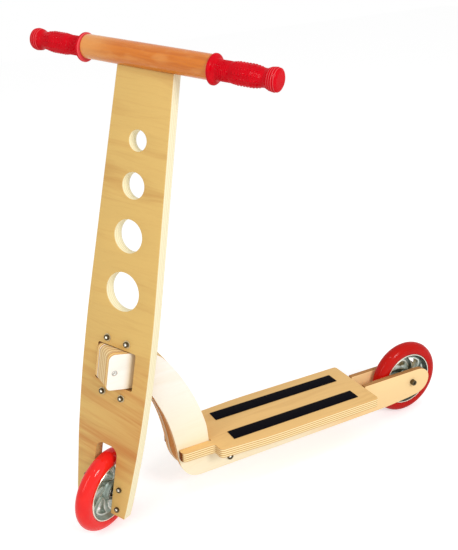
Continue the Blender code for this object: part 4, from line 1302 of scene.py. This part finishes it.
@dataclass
class Steering(Assembly):
    """Board, pin, bolts, front axle, handlebar and grips."""

    thick: float = 18.0
    top: float = 673.0
    bottom: float = -31.0
    window_half: float = 36.23
    window_low: float = 193.2
    window_high: float = 255.4
    slot_half: float = 21.0
    slot_top: float = 87.0
    holes: tuple[tuple[float, float], ...] = ((574.0, 15.4), (509.0, 19.7), (433.5, 25.3), (346.8, 30.4))
    window_bolts: tuple[float, float, float] = (18.7, 267.6, 176.3)
    leg_bolts: tuple[float, float, float] = (33.7, 18.3, -18.3)
    leg_inner: float = 20.7
    axle_length: float = 79.0
    pin_low: float = 110.0
    pin_length: float = 190.0
    bar_z: float = 688.0
    bar_y: float = -5.5
    bar_radius: float = 17.3
    lift: float = 1.8
    tenon: float = 10.0
    tenon_end: float = 199.0
    shoulder: float = 107.5
    screw_x: float = 35.0
    screw_tip: float = 636.0
    grip_end: float = 207.8

    def build(self) -> None:
        """Adds every piece of the steering."""
        self._board()
        self._bolts()
        self._axle_and_pin()
        self._bar()
        self._grips()

    def _board(self) -> None:
        """The board with its slot for the wheel, its window for the nose and its round holes."""
        side = [(48.5, self.top), (51.4, 600.0), (55.3, 500.0), (59.2, 400.0), (62.5, 315.0), (63.5, 245.0),
                (63.1, 180.0), (60.4, 105.0), (56.6, 50.0), (51.8, -6.0), (48.7, self.bottom)]
        half = smooth(side)
        a, top, foot = self.slot_half, self.slot_top, self.bottom
        slot = rounded([(a, foot, 0), (a, top, 14.0), (-a, top, 14.0), (-a, foot, 0)])
        outline = np.concatenate([half, slot, half[::-1] * (-1, 1)])
        w, low, high = self.window_half, self.window_low, self.window_high
        holes = [rounded([(w, high, 3.5), (w, low, 3.5), (-w, low, 3.5), (-w, high, 3.5)])]
        holes += [circle(0.0, z, r) for z, r in self.holes]
        board = Slab(outline, self.thick, 1.0, holes).surface()
        self.add("steering_board", board.laid(Basis.FRONT), Look.BOARD)

    def _bolts(self) -> None:
        """Four bolts with washers round the window and four without in the legs."""
        for kind, (x, high, low), seat in (("window", self.window_bolts, 1.8), ("leg", self.leg_bolts, GAP)):
            places = [(side * x, z) for side in (-1, 1) for z in (high, low)]
            for i, (x, z) in enumerate(places, 1):
                place = Basis.FRONT, x, -self.thick / 2 - seat, z
                bolt = Fastener(BOLT, 4.4, 3.4, seat + self.thick + 11.3).bolt(0.52, 0.3)
                self.add(f"{kind}_bolt_{i}", bolt.laid(*place), Look.DARK)
                if kind == "window":
                    washer = Fastener(BOLT + GAP, 6.3).ring(GAP - seat, 1.5 - seat, 0.3)
                    self.add(f"window_washer_{i}", washer.laid(*place), Look.WASHER)

    def _axle_and_pin(self) -> None:
        """The front axle and its spacers, and the pivot pin and its washers."""
        axle = Fastener(AXLE, AXLE, self.axle_length).pin()
        self.add("front_axle", axle.laid(Basis.RIGHT, -self.axle_length / 2, TRAIL), Look.BRIGHT)
        tube = Fastener(PINHOLE, SLEEVE).ring(HUB_HALF + GAP, self.leg_inner)
        self.add("front_spacer_right", tube.laid(Basis.RIGHT, 0, TRAIL), Look.BRIGHT)
        self.add("front_spacer_left", tube.laid(Basis.LEFT, 0, TRAIL), Look.BRIGHT)
        pin = Fastener(AXLE, AXLE, self.pin_length).pin()
        self.add("pivot_pin", pin.moved(shift(0, 0, self.pin_low)), Look.BRIGHT)
        for name, low in (("thrust_washer_lower", 193.5), ("thrust_washer_upper", 254.3)):
            self.add(name, Fastener(PINHOLE, 7.0).ring(low, low + 0.8, 0.15), Look.BRIGHT)

    def _bar(self) -> None:
        """Turned bar, a little fuller in its middle, with its seat on the board and two sunk screws."""
        r, end = self.bar_radius, self.shoulder
        x = np.linspace(-end + 3.0, end - 3.0, 61)
        body = np.stack([r - 0.15 * (x / end) ** 2, x], -1)
        edge = [(r - 0.2, end - 3.0, 0), (r - 0.2, end, 1.6), (self.tenon, end, 0)]
        last = self.tenon_end
        tenon = np.array([(self.tenon, last - 0.6), (self.tenon - 0.6, last), (0.0, last)])
        half = np.concatenate([rounded(edge, 12.0, False)[1:], tenon])
        shape = turned(np.concatenate([half[::-1] * (1, -1), body, half]), 96)
        thick = np.hypot(shape.points[:, 0], shape.points[:, 1]) > self.tenon + 0.2
        shape.points[thick, 0] -= self.lift
        piece = self.add("handlebar", shape.laid(Basis.RIGHT, 0, self.bar_y, self.bar_z), Look.BAR)
        own = self.axes @ Matrix.Scale(MM, 4) @ shift(0, self.bar_y, self.bar_z) @ Basis.RIGHT.matrix()
        side, back = 49.3, self.thick / 2 + GAP
        corners = np.array([(-side, -back), (side, -back), (side, back), (-side, back)])
        top = self.bar_z + self.lift + math.sqrt(r * r - self.bar_y ** 2)
        tools = [Slab(corners, 40.0, 0.01, steps=1).surface().moved(shift(0, 0, self.top + GAP - 20.0))]
        sink = Fastener(4.9, 4.9, 20.0, columns=32).pin(0.01)
        tools += [sink.moved(shift(x, 0, top - 4.0)) for x in (-self.screw_x, self.screw_x)]
        carve(piece, joined(tools).mesh("bar_tool", self.axes), own)
        seat = top - 3.7
        for name, x in (("bar_screw_left", -self.screw_x), ("bar_screw_right", self.screw_x)):
            screw = Fastener(2.5, 4.6, 3.0, seat - self.screw_tip).bolt(0.5, 0.2)
            self.add(name, screw.moved(shift(x, 0, seat)), Look.DARK)

    def _grips(self) -> None:
        """Moulded grips with a flange, a ribbed collar, rows of studs and a ringed end cap."""
        start, end = self.shoulder + GAP, self.grip_end
        bore = self.tenon + GAP
        skin = rounded([
            (bore, start, 0), (19.6, start, 0.6), (20.8, start + 1.2, 0.8), (20.8, start + 3.6, 1.0),
            (19.2, start + 5.4, 1.5), (15.4, start + 7.2, 2.5), (13.8, start + 10.0, 2.0),
            (13.8, start + 29.5, 1.5), (14.7, start + 33.5, 1.5), (14.7, end - 38.0, 8.0),
            (12.5, end - 23.0, 4.0), (12.5, end - 19.5, 3.0), (15.3, end - 13.0, 2.0), (16.2, end - 7.0, 5.0),
            (15.2, end - 2.0, 2.2), (12.0, end, 1.8), (0.0, end, 0),
        ], closed=False)
        length = np.concatenate([[0], np.cumsum(np.hypot(*np.diff(skin, axis=0).T))])
        dense = np.linspace(0, length[-1], 420)
        radius = np.interp(dense, length, skin[:, 0])
        height = np.interp(dense, length, skin[:, 1])
        columns = 180
        angle = TURN * np.arange(columns)[None] / columns
        r = np.repeat(radius[:, None], columns, 1)
        h = np.repeat(height[:, None], columns, 1)
        collar, groove = 2.9, 3.3
        r += 0.28 * np.cos(TURN * (h - start) / collar) * window(h, start + 11.5, start + 29.0, 1.0)
        cap = ((h - end + 13.0) % groove - groove / 2) / 0.7
        r -= 0.8 * np.exp(-cap ** 2) * window(h, end - 15.0, end - 3.0, 0.6)
        rows, pitch, size = 12, 4.7, 1.55
        lane = (angle * rows / TURN + 0.5) % 1 - 0.5
        number = np.floor(angle * rows / TURN + 0.5) % rows
        along = ((h - start) / pitch + 0.5 * (number % 2)) % 1 - 0.5
        reach = np.hypot(lane * TURN / rows * 14.5 / size, along * pitch / size)
        stud = np.clip(1.35 - reach, 0, 0.75)
        r += 1.05 * stud * window(h, start + 36.0, end - 27.0, 1.2) * (r > 5)
        ends = np.zeros((1, columns))
        deep = self.tenon_end + GAP
        hollow = np.array([(0.0, deep), (bore, deep), (bore, start + 0.2)])
        inner_r = np.repeat(hollow[:, :1], columns, 1)
        inner_h = np.repeat(hollow[:, 1:], columns, 1)
        grip = rings(np.concatenate([inner_r, r[:-1], ends]), np.concatenate([inner_h, h[:-1], ends + end]))
        for name, basis in (("grip_left", Basis.LEFT), ("grip_right", Basis.RIGHT)):
            self.add(name, grip.laid(basis, 0, self.bar_y, self.bar_z), Look.GRIP)


# Studio

def toward(azimuth: float, elevation: float) -> Vector:
    """The direction from the scooter to a place seen at two angles in radians."""
    across, rise = math.cos(elevation), math.sin(elevation)
    return Vector((math.sin(azimuth) * across, -math.cos(azimuth) * across, rise))


@dataclass(frozen=True)
class View:
    """The photograph's viewpoint, found by fitting a camera to its main points."""

    focal: float = 773.45
    height: int = 550
    sensor: float = 36.0
    azimuth: float = 62.864
    elevation: float = 23.699
    roll: float = -3.943
    aim: tuple[float, float, float] = (0.0, 0.0, 300.0)
    offset: tuple[float, float] = (34.901, -39.771)
    distance: float = 1309.144

    def build(self) -> None:
        """Makes the camera and makes it the scene's own."""
        az, el, roll = (math.radians(v) for v in (self.azimuth, self.elevation, self.roll))
        back = toward(az, el)
        level = Vector((math.cos(az), math.sin(az), 0))
        rise = back.cross(level)
        right = math.cos(roll) * level + math.sin(roll) * rise
        up = math.cos(roll) * rise - math.sin(roll) * level
        scale = self.distance / self.focal
        eye = Vector(self.aim) + back * self.distance - right * self.offset[0] * scale
        eye -= up * self.offset[1] * scale
        data = bpy.data.cameras.new("camera")
        data.sensor_fit = "VERTICAL"
        data.sensor_height = self.sensor
        data.lens = self.focal / self.height * self.sensor
        data.clip_end = 50.0
        camera = bpy.data.objects.new("camera", data)
        camera.matrix_world = Matrix.Translation(eye * MM) @ Matrix((right, up, back)).transposed().to_4x4()
        bpy.context.scene.collection.objects.link(camera)
        bpy.context.scene.camera = camera


@dataclass(frozen=True)
class Lamp:
    """One soft area lamp aimed at the scooter's middle."""

    name: str
    azimuth: float
    elevation: float
    size: float
    power: float
    tall: float = 1.0
    distance: float = 2.6
    aim: float = 0.25

    def build(self) -> None:
        """Adds the lamp."""
        away = toward(math.radians(self.azimuth), math.radians(self.elevation))
        data = bpy.data.lights.new(self.name, "AREA")
        data.shape = "ELLIPSE"
        data.size = self.size
        data.size_y = self.size * self.tall
        data.energy = self.power
        lamp = bpy.data.objects.new(self.name, data)
        place = Matrix.Translation(Vector((0, 0, self.aim)) + away * self.distance)
        lamp.matrix_world = place @ away.to_track_quat("Z", "Y").to_matrix().to_4x4()
        bpy.context.scene.collection.objects.link(lamp)


class Studio:
    """Pale floor, white surroundings and soft lamps."""

    ambient = 0.62
    tone = 0.86
    glow = 0.45
    half_size = 6.0
    sunk = 0.0002
    lamps = (
        Lamp("key", 100.0, 32.0, 0.8, 26.0),
        Lamp("front", 20.0, 30.0, 0.42, 9.5, 4.5),
        Lamp("glint", 50.0, 62.0, 0.24, 2.5),
    )

    def build(self) -> None:
        """Adds the floor, the world, the lamps and the camera."""
        for part in (View(), *self.lamps):
            part.build()
        self._world()
        self._floor()
        bpy.context.scene.view_settings.view_transform = "Standard"

    def _seen(self, shader: Shader) -> Value:
        """One for camera, glossy and transmission rays, else nothing."""
        path = shader.node("ShaderNodeLightPath")
        names = "Is Camera Ray", "Is Glossy Ray", "Is Transmission Ray"
        camera, glossy, through = shader.outputs(path, *names)
        return camera.larger(glossy.larger(through))

    def _world(self) -> None:
        """White where it is seen, and dimmer as light."""
        world = bpy.data.worlds.new("studio")
        shader = Shader(world)
        lit, white = (shader.node("ShaderNodeBackground", {"Color": (1, 1, 1, 1), "Strength": strength})
                      for strength in (self.ambient, 1.0))
        shader.finish(shader.node("ShaderNodeMixShader", {0: self._seen(shader), 1: lit, 2: white}))
        bpy.context.scene.world = world

    def _floor(self) -> None:
        """A pale floor that glows a little where it is seen."""
        size = self.half_size
        mesh = bpy.data.meshes.new("floor")
        corners = [(-size, -size, 0), (size, -size, 0), (size, size, 0), (-size, size, 0)]
        mesh.from_pydata(corners, [], [(0, 1, 2, 3)])
        floor = bpy.data.objects.new("floor", mesh)
        floor.location.z = -self.sunk
        material = bpy.data.materials.new("floor")
        shader = Shader(material)
        matt = shader.node("ShaderNodeBsdfDiffuse", {"Color": (self.tone, self.tone, self.tone, 1)})
        glow = shader.node("ShaderNodeEmission", {"Color": (1, 1, 1, 1), "Strength": self.glow})
        pale = shader.node("ShaderNodeAddShader", {0: matt, 1: glow})
        shader.finish(shader.node("ShaderNodeMixShader", {0: self._seen(shader), 1: matt, 2: pale}))
        mesh.materials.append(material)
        bpy.context.scene.collection.objects.link(floor)


def dress_blocks() -> None:
    """Gives the blocks behind the board, which keep their CAD shape, their wood."""
    for name in ("pivot_block_upper", "pivot_block_lower", "axle_block_left", "axle_block_right"):
        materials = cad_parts[name].data.materials
        materials.clear()
        materials.append(Look.BLOCK.material())


def build_scooter() -> None:
    """Makes every piece of the scooter."""
    rear, front = frame_axes(), steering_axes()
    Frame("frame", rear).build()
    Steering("steering", front).build()
    shaded = {"tyre_look": Look.SHADED_TYRE, "hub_look": Look.SHADED_HUB}
    Wheel("rear", Assembly("rear_wheel", rear), **shaded).build()
    Wheel("front", Assembly("front_wheel", front @ shift(0, TRAIL * MM, 0))).build()
    dress_blocks()


def main() -> None:
    """Builds the scooter and its studio."""
    logging.basicConfig(level=logging.INFO)
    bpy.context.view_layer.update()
    build_scooter()
    Studio().build()


if __name__ == "__main__":
    main()
